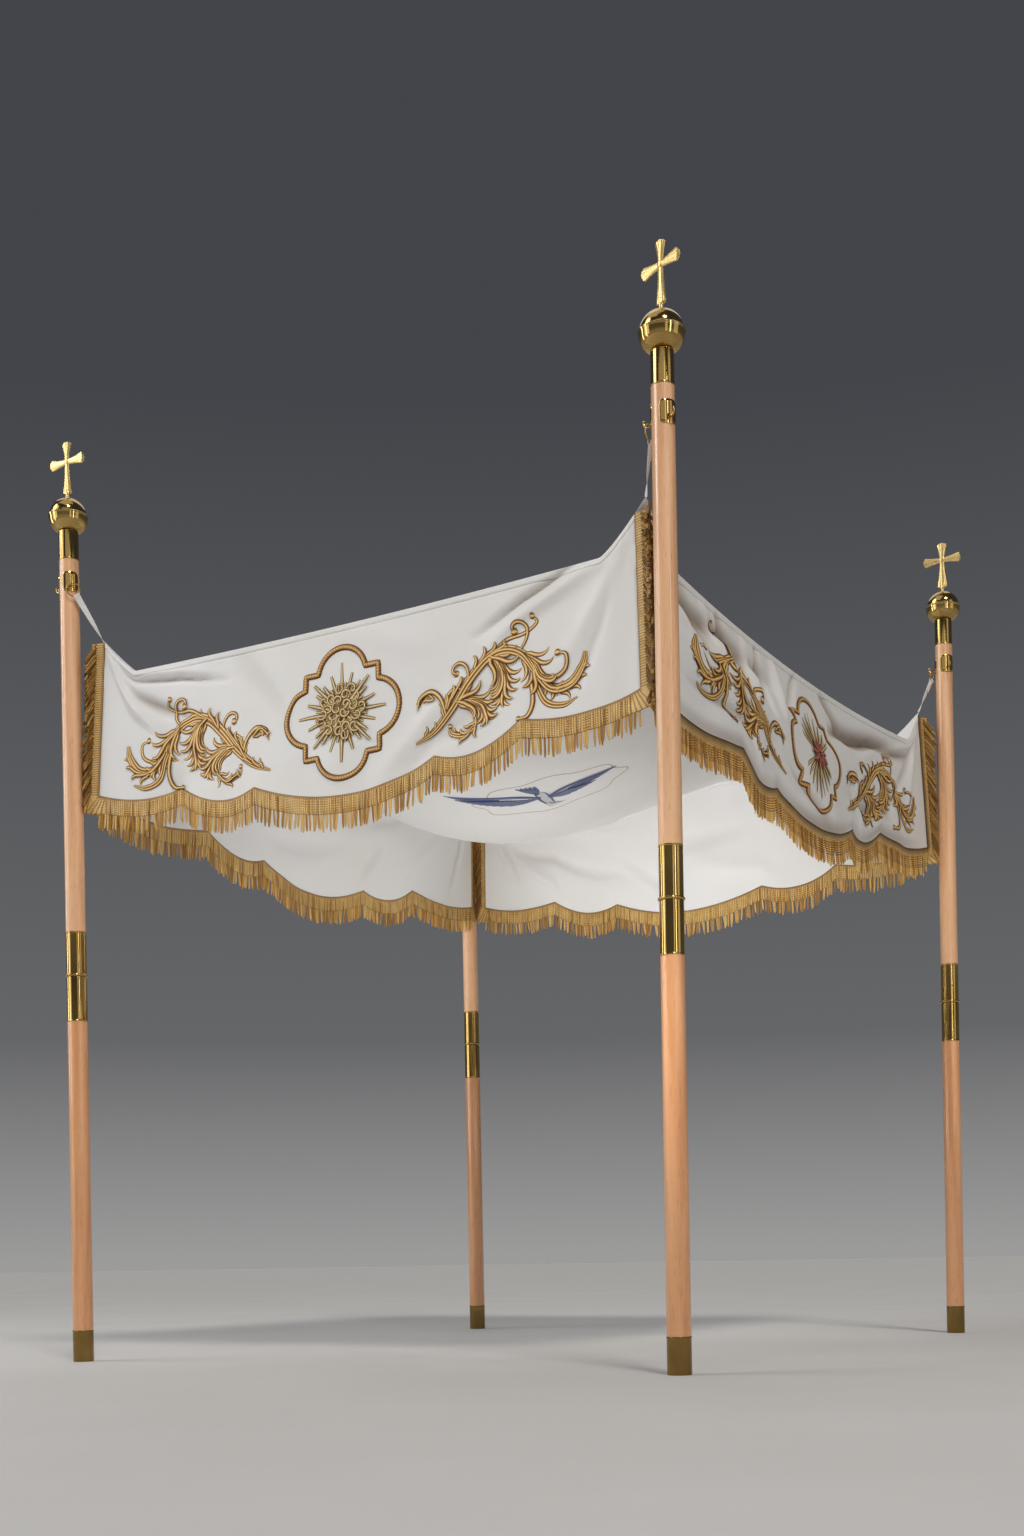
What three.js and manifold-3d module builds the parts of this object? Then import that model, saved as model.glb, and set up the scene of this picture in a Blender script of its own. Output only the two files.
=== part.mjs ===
// A processional canopy: four jointed wooden poles with brass fittings carry a cloth ceiling
// by its corners. Four shaped valances hang from the ceiling's edges, each with a bullion fringe
// round its two ends and hem.
// Millimetres, +Z up. The origin is on the floor, midway between the four poles.
// +Y looks from the front valance to the back one, and +X is to the right of someone who faces the front.
import * as THREE from "three";
import { mergeVertices } from "three/addons/utils/BufferGeometryUtils.js";
import Module from "manifold-3d";

const wasm = await Module();
wasm.setup();

// Gap left between pieces that touch on the real object.
const GAP = 0.4;

// Poles: half spacing at the floor, how far each leans out per millimetre of height,
// and the heights of their parts.
const POLE_HALF_X = 810;
const POLE_HALF_Y = 910;
const POLE_SPLAY = 0.018;
const POLE_RADIUS = 25;
const POLE_SIDES = 12;
const TENON_RADIUS = 22.6;
const FITTING_WALL = 2;
const FITTING_END = 3;
const FERRULE_TOP = 76;
const COUPLING_BOTTOM = 841;
const COUPLING_MIDDLE = 954;
const COUPLING_TOP = 1068;
const BEAD_RADIUS = 28;
const BEAD_HEIGHT = 7;
const COLLAR_BOTTOM = 2032;

// Finial: a ball made of two bowls that meet at a rim, and a cross with flared arms on a turned foot.
const BALL_MIDDLE = 2151;
const BALL_RADIUS = 47;
const BALL_SEAT_RADIUS = 22;
const RIM_RADIUS = 51;
const RIM_HALF_HEIGHT = 2.5;
const CROSS_SEAT_RADIUS = 9;
const BOWL_STEPS = 4;
const CROSS_TOP = 2350;
const CROSS_FOOT_HEIGHT = 15;
const CROSS_BAR_HEIGHT = 2298;
const CROSS_HALF_SPAN = 56;
const CROSS_THICKNESS = 9;
const ARM_WAIST = 7;
const ARM_TIP = 14;
const ARM_SHOULDER = 7;

// Hook plates: a curved brass plate on the inner and the outer side of each pole, with an upturned hook.
const PLATE_BOTTOM = 1945;
const PLATE_HEIGHT = 52;
const PLATE_THICKNESS = 2;
const PLATE_HALF_ANGLE = 0.85;
const PLATE_STEPS = 3;
const HOOK_HEIGHT = 1957;
const HOOK_REACH = 45;
const HOOK_RISE = 15;
const HOOK_WIRE = 2.6;

// Rings: one hangs in each inner hook, turned towards the cloth that pulls on it.
const RING_RADIUS = 17;
const RING_WIRE = 1.7;
const RING_FROM_POLE = 35;

// Cloth: the corners' place beside the poles, the level of the seams between them, and the ceiling's sag.
const CLOTH = 2;
const CORNER_HEIGHT = 1830;
const CORNER_INSET_X = 65;
const CORNER_INSET_Y = 45;
const SEAM_HEIGHT = 1725;
const CORNER_REACH = 115;
const CORNER_POWER = 1.25;
const EDGE_BOW = 18;
const BELLY = 325;
const BELLY_POWER = 1.25;
const BELLY_SHIFT_X = -0.2;
const BELLY_SHIFT_Y = -0.04;
const EDGE_SAG_POWER = 6;
const CEILING_STEPS = 16;

// Valances: how far the lower corners swing out, and the rows of the sheet from seam to hem.
const HEM_SWING = 10;
const VALANCE_ROWS = 4;

// Hem: peaks along the valance, by their distance from its middle, with their drop under the seam,
// the depth of the scallop that follows each one, and the steps that draw that scallop.
const HEM_END = { drop: 308, scallop: 20, steps: 6 };
const HEM_PEAKS = [
  { fromMiddle: -490, drop: 320, scallop: 32, steps: 5 },
  { fromMiddle: -252, drop: 358, scallop: 54, steps: 8 },
  { fromMiddle: 252, drop: 358, scallop: 32, steps: 5 },
  { fromMiddle: 490, drop: 320, scallop: 20, steps: 6 },
];

// Straps: a flat tape from each corner, sewn into an eye round the ring.
const STRAP_WIDTH = 14;
const STRAP_THICKNESS = 3;
const EYE_INNER = 4.2;
const EYE_OUTER = 6.4;

// Fringe: a braided heading along the free edges, with locks that hang from it.
const HEADING_WIDTH = 16;
const HEADING_THICKNESS = 4;
const FRINGE_DROP = 85;
const HEM_LOCKS = 34;
const HEM_LOCK_MARGIN = 0.03;
const END_LOCKS = 7;
const END_STEPS = 4;
const LOCK_THICKNESS = 2.4;
const LOCK_TOP_WIDTH = 26;
const LOCK_TIP_WIDTH = 20;
const END_LOCK_LENGTH = 52;
const END_LOCK_TOP_WIDTH = 13;
const END_LOCK_TIP_WIDTH = 8;
const END_LOCK_LEAN = 0.42;
const END_LOCK_LEAN_LOSS = 0.2;

// The collar ends under the ball's seat, and the cross stands on the flat at its top.
const COLLAR_TOP = BALL_MIDDLE - Math.sqrt(BALL_RADIUS ** 2 - BALL_SEAT_RADIUS ** 2) - GAP;
const CROSS_BOTTOM = BALL_MIDDLE + Math.sqrt(BALL_RADIUS ** 2 - CROSS_SEAT_RADIUS ** 2) + GAP;

// The place of each corner's cloth, from the pole's lean at that height.
const CORNER_X = POLE_HALF_X + POLE_SPLAY * CORNER_HEIGHT - CORNER_INSET_X;
const CORNER_Y = POLE_HALF_Y + POLE_SPLAY * CORNER_HEIGHT - CORNER_INSET_Y;

// Each valance: the way it runs, the way it faces, its half length and its distance from the middle,
// where its cloth stops short of the two corners, how far its hem has slipped along and sunk, how far
// its seam sags between the corners, and its soft folds. A fold has its place along the half length
// (-1 to 1), its width as a share of that, and how far it stands out at the hem.
const VALANCES = [
  {
    name: "front",
    along: [1, 0],
    out: [0, -1],
    half: CORNER_X,
    reach: CORNER_Y,
    startInset: 14,
    endInset: 28,
    slip: -30,
    sink: 0,
    seamSag: 6,
    folds: [
      { at: -0.66, width: 0.17, depth: -12 },
      { at: -0.28, width: 0.24, depth: 13 },
      { at: 0.18, width: 0.2, depth: -8 },
      { at: 0.62, width: 0.2, depth: 12 },
    ],
  },
  {
    name: "right",
    along: [0, 1],
    out: [1, 0],
    half: CORNER_Y,
    reach: CORNER_X,
    startInset: 14,
    endInset: 16,
    slip: 8,
    sink: 20,
    seamSag: 36,
    folds: [
      { at: -0.1, width: 0.95, depth: 42 },
      { at: -0.6, width: 0.16, depth: 18 },
      { at: -0.26, width: 0.1, depth: -9 },
      { at: 0.06, width: 0.16, depth: 14 },
      { at: 0.42, width: 0.13, depth: -10 },
      { at: 0.68, width: 0.12, depth: 12 },
    ],
  },
  {
    name: "back",
    along: [-1, 0],
    out: [0, 1],
    half: CORNER_X,
    reach: CORNER_Y,
    startInset: 16,
    endInset: 36,
    slip: -12,
    sink: 0,
    seamSag: 14,
    folds: [
      { at: -0.52, width: 0.2, depth: 16 },
      { at: -0.05, width: 0.24, depth: -12 },
      { at: 0.5, width: 0.18, depth: 18 },
    ],
  },
  {
    name: "left",
    along: [0, -1],
    out: [-1, 0],
    half: CORNER_Y,
    reach: CORNER_X,
    startInset: 36,
    endInset: 18,
    slip: 16,
    sink: 0,
    seamSag: 14,
    folds: [
      { at: -0.6, width: 0.2, depth: -12 },
      { at: -0.12, width: 0.26, depth: 20 },
      { at: 0.44, width: 0.18, depth: -10 },
      { at: 0.76, width: 0.12, depth: 14 },
    ],
  },
];

// Poles, by corner: the signs of X and Y where each stands, the turns of its hooks from the X direction,
// how far the strap's pull tilts its ring, and how far its cross is screwed round.
const CORNERS = [
  { name: "front_left", sx: -1, sy: -1, innerTurn: -0.7, outerTurn: 0, ringTilt: 0.5, crossTurn: 0 },
  { name: "front_right", sx: 1, sy: -1, innerTurn: 0, outerTurn: -0.6, ringTilt: 0.38, crossTurn: -0.38 },
  { name: "back_right", sx: 1, sy: 1, innerTurn: 0, outerTurn: -0.87, ringTilt: 0.38, crossTurn: 0 },
  { name: "back_left", sx: -1, sy: 1, innerTurn: 0, outerTurn: 0, ringTilt: 0.38, crossTurn: 0 },
];

const MATERIALS = {
  cloth: new THREE.MeshStandardMaterial({ color: 0xe9e6df, roughness: 0.6, metalness: 0 }),
  fringe: new THREE.MeshStandardMaterial({ color: 0xb08a47, roughness: 0.5, metalness: 0.3 }),
  brass: new THREE.MeshStandardMaterial({ color: 0xc9a64c, roughness: 0.2, metalness: 1 }),
  wood: new THREE.MeshStandardMaterial({ color: 0xc49372, roughness: 0.4, metalness: 0 }),
};

// A closed geometry as a solid for joining and cutting.
function solidOf(geometry) {
  const bare = (geometry.index ? geometry.toNonIndexed() : geometry.clone());
  bare.deleteAttribute("normal");
  bare.deleteAttribute("uv");
  const merged = mergeVertices(bare, 1e-3);
  const corners = [...merged.index.array];
  const kept = corners.flatMap((_, n) => {
    const [a, b, c] = corners.slice(n, n + 3);
    return n % 3 === 0 && a !== b && b !== c && c !== a ? [a, b, c] : [];
  });
  return new wasm.Manifold(
    new wasm.Mesh({
      numProp: 3,
      vertProperties: new Float32Array(merged.attributes.position.array),
      triVerts: new Uint32Array(kept),
    }),
  );
}

// A solid's surface as a geometry.
function geometryOf(solid) {
  const mesh = solid.getMesh();
  const geometry = new THREE.BufferGeometry();
  geometry.setAttribute("position", new THREE.BufferAttribute(mesh.vertProperties, 3));
  geometry.setIndex(new THREE.BufferAttribute(mesh.triVerts, 1));
  return geometry;
}

function joined(geometries) {
  return geometryOf(geometries.map(solidOf).reduce((whole, piece) => whole.add(piece)));
}

function named(name, geometry, material) {
  const mesh = new THREE.Mesh(geometry, material);
  mesh.name = name;
  return mesh;
}

// A turned piece: its profile is a list of [radius, height], from the axis round to the axis.
function turned(profile, sides = POLE_SIDES) {
  const geometry = new THREE.LatheGeometry(profile.map(([r, z]) => new THREE.Vector2(r, z)), sides);
  return geometry.rotateX(Math.PI / 2);
}

// A closed sheet between two grids of points of the same size. The upper grid lies on the side that the
// columns' direction crossed with the rows' direction points to.
function sheetBetween(upper, lower) {
  const rows = upper.length;
  const columns = upper[0].length;
  const end = columns - 1;
  const points = [...upper.flat(), ...lower.flat()];
  const at = (layer, row, column) => layer * rows * columns + row * columns + column;
  const index = [];
  const quad = (a, b, c, d) => index.push(a, b, c, a, c, d);
  for (let r = 0; r + 1 < rows; r++)
    for (let c = 0; c + 1 < columns; c++) {
      quad(at(0, r, c), at(0, r, c + 1), at(0, r + 1, c + 1), at(0, r + 1, c));
      quad(at(1, r, c), at(1, r + 1, c), at(1, r + 1, c + 1), at(1, r, c + 1));
    }
  for (let c = 0; c + 1 < columns; c++) {
    quad(at(0, 0, c + 1), at(0, 0, c), at(1, 0, c), at(1, 0, c + 1));
    quad(at(0, rows - 1, c), at(0, rows - 1, c + 1), at(1, rows - 1, c + 1), at(1, rows - 1, c));
  }
  for (let r = 0; r + 1 < rows; r++) {
    quad(at(0, r, 0), at(0, r + 1, 0), at(1, r + 1, 0), at(1, r, 0));
    quad(at(0, r + 1, end), at(0, r, end), at(1, r, end), at(1, r + 1, end));
  }
  const geometry = new THREE.BufferGeometry();
  const numbers = points.flatMap((point) => point.toArray());
  geometry.setAttribute("position", new THREE.Float32BufferAttribute(numbers, 3));
  geometry.setIndex(index);
  return geometry;
}

// A lock of fringe: a flat four-sided bar from root to tip.
function lock(root, tip, widthWay, thickWay, topWidth, tipWidth) {
  const corner = (centre, width, i, j) =>
    centre
      .clone()
      .addScaledVector(widthWay, (i * width) / 2)
      .addScaledVector(thickWay, (j * LOCK_THICKNESS) / 2);
  const ends = [
    [root, topWidth],
    [tip, tipWidth],
  ];
  const grid = (j) => ends.map(([centre, width]) => [-1, 1].map((i) => corner(centre, width, i, j)));
  const bar = sheetBetween(grid(1), grid(-1));
  if (widthWay.clone().cross(tip.clone().sub(root)).dot(thickWay) < 0) bar.index.array.reverse();
  return bar;
}

// How far the cloth rises above the seam at a distance from its corner.
function cornerRise(distance) {
  const share = Math.max(0, 1 - distance / CORNER_REACH);
  return (CORNER_HEIGHT - SEAM_HEIGHT) * share ** CORNER_POWER;
}

// Where a valance's cloth starts and ends along its run.
function clothSpan(valance) {
  return { from: -valance.half + valance.startInset, to: valance.half - valance.endInset };
}

// The rows of a valance's hem, from its start to its end, as shares of its width.
function hemRows(valance) {
  const { from, to } = clothSpan(valance);
  const peaks = HEM_PEAKS.map((peak) => ({
    ...peak,
    share: (peak.fromMiddle + valance.slip - from) / (to - from),
    drop: peak.drop + valance.sink,
  }));
  return [{ ...HEM_END, share: 0 }, ...peaks, { ...HEM_END, share: 1 }];
}

// The drop of the hem under the seam, at a share of the valance's width.
function hemDrop(valance, share) {
  const rows = hemRows(valance);
  const i = rows.findIndex((_, n) => n === rows.length - 2 || share <= rows[n + 1].share);
  const from = rows[i];
  const to = rows[i + 1];
  const k = (share - from.share) / (to.share - from.share);
  return from.drop + (to.drop - from.drop) * k + from.scallop * 4 * k * (1 - k);
}

// How far a valance's folds stand out at a place along it, growing from the seam (0) to the hem (1).
// They die out at the two ends.
function foldDepth(valance, place, down) {
  const grow = down ** 1.4 * (1 - place ** 6);
  return valance.folds.reduce(
    (sum, fold) => sum + fold.depth * grow * Math.exp(-(((place - fold.at) / fold.width) ** 2)),
    0,
  );
}

// A point of a valance's mid-surface: share runs along its width, down from the seam (0) to the hem (1).
function valancePoint(valance, share, down) {
  const { half, reach } = valance;
  const { from, to } = clothSpan(valance);
  const run = from + (to - from) * share;
  const place = run / half;
  const swing = HEM_SWING * down * Math.abs(place) ** 6;
  const bow = EDGE_BOW * (1 - place * place);
  const out = reach + GAP + CLOTH / 2 - bow + foldDepth(valance, place, down) + swing;
  const along = run + Math.sign(place) * swing;
  const top = SEAM_HEIGHT + cornerRise(half - Math.abs(run)) - valance.seamSag * (1 - place * place);
  const hem = SEAM_HEIGHT - hemDrop(valance, share);
  return new THREE.Vector3(
    valance.along[0] * along + valance.out[0] * out,
    valance.along[1] * along + valance.out[1] * out,
    top + (hem - top) * down,
  );
}

// The shares of the width where a valance's sheet has its columns, with one on each peak of the hem.
function hemShares(valance) {
  const rows = hemRows(valance);
  const shares = rows.slice(0, -1).flatMap(({ share, steps }, i) =>
    Array.from({ length: steps }, (_, n) => share + ((rows[i + 1].share - share) * n) / steps),
  );
  return [...shares, 1];
}

function valanceSheet(valance) {
  const out = new THREE.Vector3(...valance.out, 0);
  const grid = (offset) =>
    hemShares(valance).map((share) =>
      Array.from({ length: VALANCE_ROWS + 1 }, (_, row) =>
        valancePoint(valance, share, row / VALANCE_ROWS).addScaledVector(out, offset),
      ),
    );
  return sheetBetween(grid(CLOTH / 2), grid(-CLOTH / 2));
}

// How far the ceiling's edges sag with the seams of the valances, at p and q.
function edgeSag(p, q) {
  return VALANCES.reduce((sum, { along, out, seamSag }) => {
    const towards = Math.max(0, p * out[0] + q * out[1]);
    const place = p * along[0] + q * along[1];
    return sum + seamSag * (1 - place * place) * towards ** EDGE_SAG_POWER;
  }, 0);
}

// The ceiling's height at p and q, which run from -1 to 1 between the corners.
function ceilingPoint(p, q) {
  const bowl = (along, shift) => {
    const moved = along - shift * (1 - along * along);
    return Math.max(0, 1 - moved * moved) ** BELLY_POWER;
  };
  const corner = Math.hypot((1 - Math.abs(p)) * CORNER_X, (1 - Math.abs(q)) * CORNER_Y);
  const sag = BELLY * bowl(p, BELLY_SHIFT_X) * bowl(q, BELLY_SHIFT_Y);
  return new THREE.Vector3(
    p * (CORNER_X - EDGE_BOW * (1 - q * q)),
    q * (CORNER_Y - EDGE_BOW * (1 - p * p)),
    SEAM_HEIGHT - sag + cornerRise(corner) - edgeSag(p, q),
  );
}

// The ceiling's columns lie closer together near its corners, where the cloth rises to the straps.
function ceilingSheet() {
  const limit = 0.4 * Math.PI;
  const place = (n) => Math.sin(((2 * n) / CEILING_STEPS - 1) * limit) / Math.sin(limit);
  const grid = (offset) =>
    Array.from({ length: CEILING_STEPS + 1 }, (_, i) =>
      Array.from({ length: CEILING_STEPS + 1 }, (_, j) => {
        const point = ceilingPoint(place(i), place(j));
        point.z += offset;
        return point;
      }),
    );
  return sheetBetween(grid(-CLOTH / 2), grid(CLOTH / 2));
}

// A point of the cloth's edge, moved out so that the heading's back is level with the back of the cloth.
function headingEdge(valance, share, down) {
  const out = new THREE.Vector3(...valance.out, 0);
  return valancePoint(valance, share, down).addScaledVector(out, (HEADING_THICKNESS - CLOTH) / 2);
}

// The fringe's heading follows the two ends and the hem just outside the cloth. Each station has the
// edge of the cloth and the way that the heading's width runs from it.
function headingStations(valance) {
  const along = new THREE.Vector3(...valance.along, 0);
  const out = new THREE.Vector3(...valance.out, 0);
  const down = new THREE.Vector3(0, 0, -1);
  const endWay = (sign) => along.clone().multiplyScalar(sign).add(out).normalize();
  const stations = [];
  for (let n = 0; n < END_STEPS; n++)
    stations.push({ edge: headingEdge(valance, 0, n / END_STEPS), way: endWay(-1) });
  for (const share of hemShares(valance)) {
    const way = down.clone();
    if (share === 0) way.add(endWay(-1));
    if (share === 1) way.add(endWay(1));
    stations.push({ edge: headingEdge(valance, share, 1), way });
  }
  for (let n = END_STEPS - 1; n >= 0; n--)
    stations.push({ edge: headingEdge(valance, 1, n / END_STEPS), way: endWay(1) });
  return stations;
}

function headingStrip(valance) {
  const out = new THREE.Vector3(...valance.out, 0);
  const grid = (offset) =>
    headingStations(valance).map(({ edge, way }) =>
      [GAP, GAP + HEADING_WIDTH].map((width) =>
        edge.clone().addScaledVector(way, width).addScaledVector(out, offset),
      ),
    );
  return sheetBetween(grid(HEADING_THICKNESS / 2), grid(-HEADING_THICKNESS / 2));
}

// Locks hang straight down along the hem, each turned the way that the hem runs there.
function hemLocks(valance) {
  const up = new THREE.Vector3(0, 0, 1);
  return Array.from({ length: HEM_LOCKS }, (_, n) => {
    const at = (step) => HEM_LOCK_MARGIN + ((1 - 2 * HEM_LOCK_MARGIN) * (n + step)) / HEM_LOCKS;
    const edge = headingEdge(valance, at(0.5), 1);
    const along = valancePoint(valance, at(0.8), 1);
    along.sub(valancePoint(valance, at(0.2), 1)).setZ(0).normalize();
    const out = along.clone().cross(up);
    const root = edge.clone();
    root.z -= HEADING_WIDTH / 2;
    const tip = edge.clone();
    tip.z -= FRINGE_DROP;
    return lock(root, tip, along, out, LOCK_TOP_WIDTH, LOCK_TIP_WIDTH);
  });
}

// Locks along the two ends fall outwards over the corner, less so lower down.
function endLocks(valance) {
  const along = new THREE.Vector3(...valance.along, 0);
  const out = new THREE.Vector3(...valance.out, 0);
  const locks = [];
  for (const [share, sign] of [
    [0, -1],
    [1, 1],
  ]) {
    const way = along.clone().multiplyScalar(sign).add(out).normalize();
    const across = along.clone().multiplyScalar(-sign).add(out).normalize();
    for (let n = 0; n < END_LOCKS; n++) {
      const down = (n + 0.6) / (END_LOCKS + 0.6);
      const lean = END_LOCK_LEAN - END_LOCK_LEAN_LOSS * down;
      const root = headingEdge(valance, share, down).addScaledVector(way, HEADING_WIDTH / 2);
      const fall = way.clone().multiplyScalar(lean);
      fall.z = -Math.sqrt(1 - lean * lean);
      const tip = root.clone().addScaledVector(fall, END_LOCK_LENGTH);
      const widthWay = fall.clone().cross(across).normalize();
      locks.push(lock(root, tip, widthWay, across, END_LOCK_TOP_WIDTH, END_LOCK_TIP_WIDTH));
    }
  }
  return locks;
}

function fringe(valance) {
  return joined([headingStrip(valance), ...hemLocks(valance), ...endLocks(valance)]);
}

// Pole parts, on an upright axis. The wood is turned down to a tenon where a brass fitting covers it.
function woodenPole(bottom, top) {
  const tenonEnd = FITTING_END + GAP;
  return turned([
    [0, bottom.fittingEnd + tenonEnd],
    [TENON_RADIUS, bottom.fittingEnd + tenonEnd],
    [TENON_RADIUS, bottom.shoulder + GAP],
    [POLE_RADIUS, bottom.shoulder + GAP],
    [POLE_RADIUS, top.shoulder - GAP],
    [TENON_RADIUS, top.shoulder - GAP],
    [TENON_RADIUS, top.fittingEnd - tenonEnd],
    [0, top.fittingEnd - tenonEnd],
  ]);
}

// A brass cup with its closed end at one height and its mouth at another.
// A bead may stand out at the closed end.
function cup(closedEnd, mouth, beadRadius = POLE_RADIUS) {
  const up = Math.sign(mouth - closedEnd);
  const bead = beadRadius > POLE_RADIUS;
  const profile = [
    [0, closedEnd],
    [bead ? POLE_RADIUS : beadRadius, closedEnd],
    ...(bead
      ? [
          [beadRadius, closedEnd + up * BEAD_HEIGHT * 0.3],
          [beadRadius, closedEnd + up * BEAD_HEIGHT * 0.7],
          [POLE_RADIUS, closedEnd + up * BEAD_HEIGHT],
        ]
      : []),
    [POLE_RADIUS, mouth],
    [POLE_RADIUS - FITTING_WALL, mouth],
    [POLE_RADIUS - FITTING_WALL, closedEnd + up * FITTING_END],
    [0, closedEnd + up * FITTING_END],
  ];
  return turned(up > 0 ? profile : profile.reverse());
}

// The finial's ball: two bowls that meet at a rim, flat where it sits on the collar and under the cross.
function ball() {
  const bowl = (seatRadius, side) => {
    const from = Math.asin(seatRadius / BALL_RADIUS);
    const to = Math.acos(RIM_HALF_HEIGHT / BALL_RADIUS);
    return Array.from({ length: BOWL_STEPS + 1 }, (_, n) => {
      const angle = from + ((to - from) * n) / BOWL_STEPS;
      return [BALL_RADIUS * Math.sin(angle), BALL_MIDDLE + side * BALL_RADIUS * Math.cos(angle)];
    });
  };
  const lower = bowl(BALL_SEAT_RADIUS, -1);
  const upper = bowl(CROSS_SEAT_RADIUS, 1).reverse();
  return turned([
    [0, lower[0][1]],
    ...lower,
    [RIM_RADIUS, BALL_MIDDLE - RIM_HALF_HEIGHT],
    [RIM_RADIUS, BALL_MIDDLE + RIM_HALF_HEIGHT],
    ...upper,
    [0, upper.at(-1)[1]],
  ]);
}

// The cross: four arms that flare to a pointed end, on a turned foot.
function cross() {
  const arm = (length) => [
    [ARM_WAIST, ARM_WAIST],
    [ARM_WAIST + 0.5, length * 0.5],
    [ARM_TIP, length - ARM_SHOULDER],
    [ARM_TIP * 0.55, length - ARM_SHOULDER * 0.35],
    [0, length],
    [-ARM_TIP * 0.55, length - ARM_SHOULDER * 0.35],
    [-ARM_TIP, length - ARM_SHOULDER],
    [-ARM_WAIST - 0.5, length * 0.5],
  ];
  const lengths = [
    CROSS_TOP - CROSS_BAR_HEIGHT,
    CROSS_HALF_SPAN,
    CROSS_BAR_HEIGHT - CROSS_BOTTOM - CROSS_FOOT_HEIGHT + 4,
    CROSS_HALF_SPAN,
  ];
  const outline = lengths.flatMap((length, quarter) => {
    const turn = (quarter * Math.PI) / 2;
    return arm(length).map(([x, y]) => new THREE.Vector2(x, y).rotateAround(new THREE.Vector2(), turn));
  });
  const plate = new THREE.ExtrudeGeometry(new THREE.Shape(outline), {
    depth: CROSS_THICKNESS,
    bevelEnabled: false,
  });
  plate.translate(0, 0, -CROSS_THICKNESS / 2).rotateX(Math.PI / 2).translate(0, 0, CROSS_BAR_HEIGHT);
  const foot = turned(
    [
      [0, CROSS_BOTTOM],
      [CROSS_SEAT_RADIUS, CROSS_BOTTOM],
      [CROSS_SEAT_RADIUS, CROSS_BOTTOM + 3],
      [5, CROSS_BOTTOM + 6],
      [7, CROSS_BOTTOM + 11],
      [4, CROSS_BOTTOM + CROSS_FOOT_HEIGHT],
      [0, CROSS_BOTTOM + CROSS_FOOT_HEIGHT],
    ],
    10,
  );
  return joined([plate, foot]);
}

// A hook plate on the side of the pole at a bearing from +X.
function hookPlate(bearing) {
  const inner = POLE_RADIUS + GAP;
  const outer = inner + PLATE_THICKNESS;
  const shape = new THREE.Shape();
  shape.absarc(0, 0, outer, -PLATE_HALF_ANGLE, PLATE_HALF_ANGLE, false);
  shape.absarc(0, 0, inner, PLATE_HALF_ANGLE, -PLATE_HALF_ANGLE, true);
  const plate = new THREE.ExtrudeGeometry(shape, {
    depth: PLATE_HEIGHT,
    bevelEnabled: false,
    curveSegments: PLATE_STEPS,
  });
  plate.translate(0, 0, PLATE_BOTTOM);
  const route = new THREE.CatmullRomCurve3([
    new THREE.Vector3(inner + PLATE_THICKNESS * 0.6, 0, HOOK_HEIGHT),
    new THREE.Vector3(RING_FROM_POLE, 0, HOOK_HEIGHT),
    new THREE.Vector3(HOOK_REACH - 3, 0, HOOK_HEIGHT + 2),
    new THREE.Vector3(HOOK_REACH, 0, HOOK_HEIGHT + 8),
    new THREE.Vector3(HOOK_REACH, 0, HOOK_HEIGHT + HOOK_RISE),
  ]);
  const section = new THREE.Shape();
  section.absarc(0, 0, HOOK_WIRE, 0, Math.PI * 2, false);
  const hook = new THREE.ExtrudeGeometry(section, {
    steps: 7,
    curveSegments: 3,
    extrudePath: route,
    bevelEnabled: false,
  });
  return joined([plate, hook]).rotateZ(bearing);
}

// The bearings of a pole's two hooks: along X, away from its inner or its outer side, and turned a little.
function hookBearings({ sx, innerTurn, outerTurn }) {
  const outward = sx > 0 ? 0 : Math.PI;
  return { inner: outward + Math.PI + innerTurn, outer: outward + outerTurn };
}

// The ring's middle and its pull direction, beside an upright pole that stands at the origin.
function ringPlace(corner) {
  const bearing = hookBearings(corner).inner;
  const across = new THREE.Vector3(-Math.sin(bearing), Math.cos(bearing), 0);
  const inwards = -corner.sy * Math.sign(across.y);
  const pull = across.clone().multiplyScalar(inwards * Math.sin(corner.ringTilt));
  pull.z = -Math.cos(corner.ringTilt);
  const hang = RING_RADIUS - RING_WIRE - HOOK_WIRE - GAP;
  const hook = new THREE.Vector3(Math.cos(bearing), Math.sin(bearing), 0).multiplyScalar(RING_FROM_POLE);
  hook.z = HOOK_HEIGHT;
  return { middle: hook.addScaledVector(pull, hang), pull, bearing };
}

function ring(corner) {
  const geometry = new THREE.TorusGeometry(RING_RADIUS, RING_WIRE, 6, 16);
  const { middle, bearing } = ringPlace(corner);
  return geometry.rotateY(Math.PI / 2).rotateZ(bearing).translate(...middle.toArray());
}

// The splay of a pole, as the matrix that leans its parts out and leaves level faces level.
function poleMatrix({ sx, sy }) {
  return new THREE.Matrix4().set(
    1, 0, sx * POLE_SPLAY, sx * POLE_HALF_X,
    0, 1, sy * POLE_SPLAY, sy * POLE_HALF_Y,
    0, 0, 1, 0,
    0, 0, 0, 1,
  );
}

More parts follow.
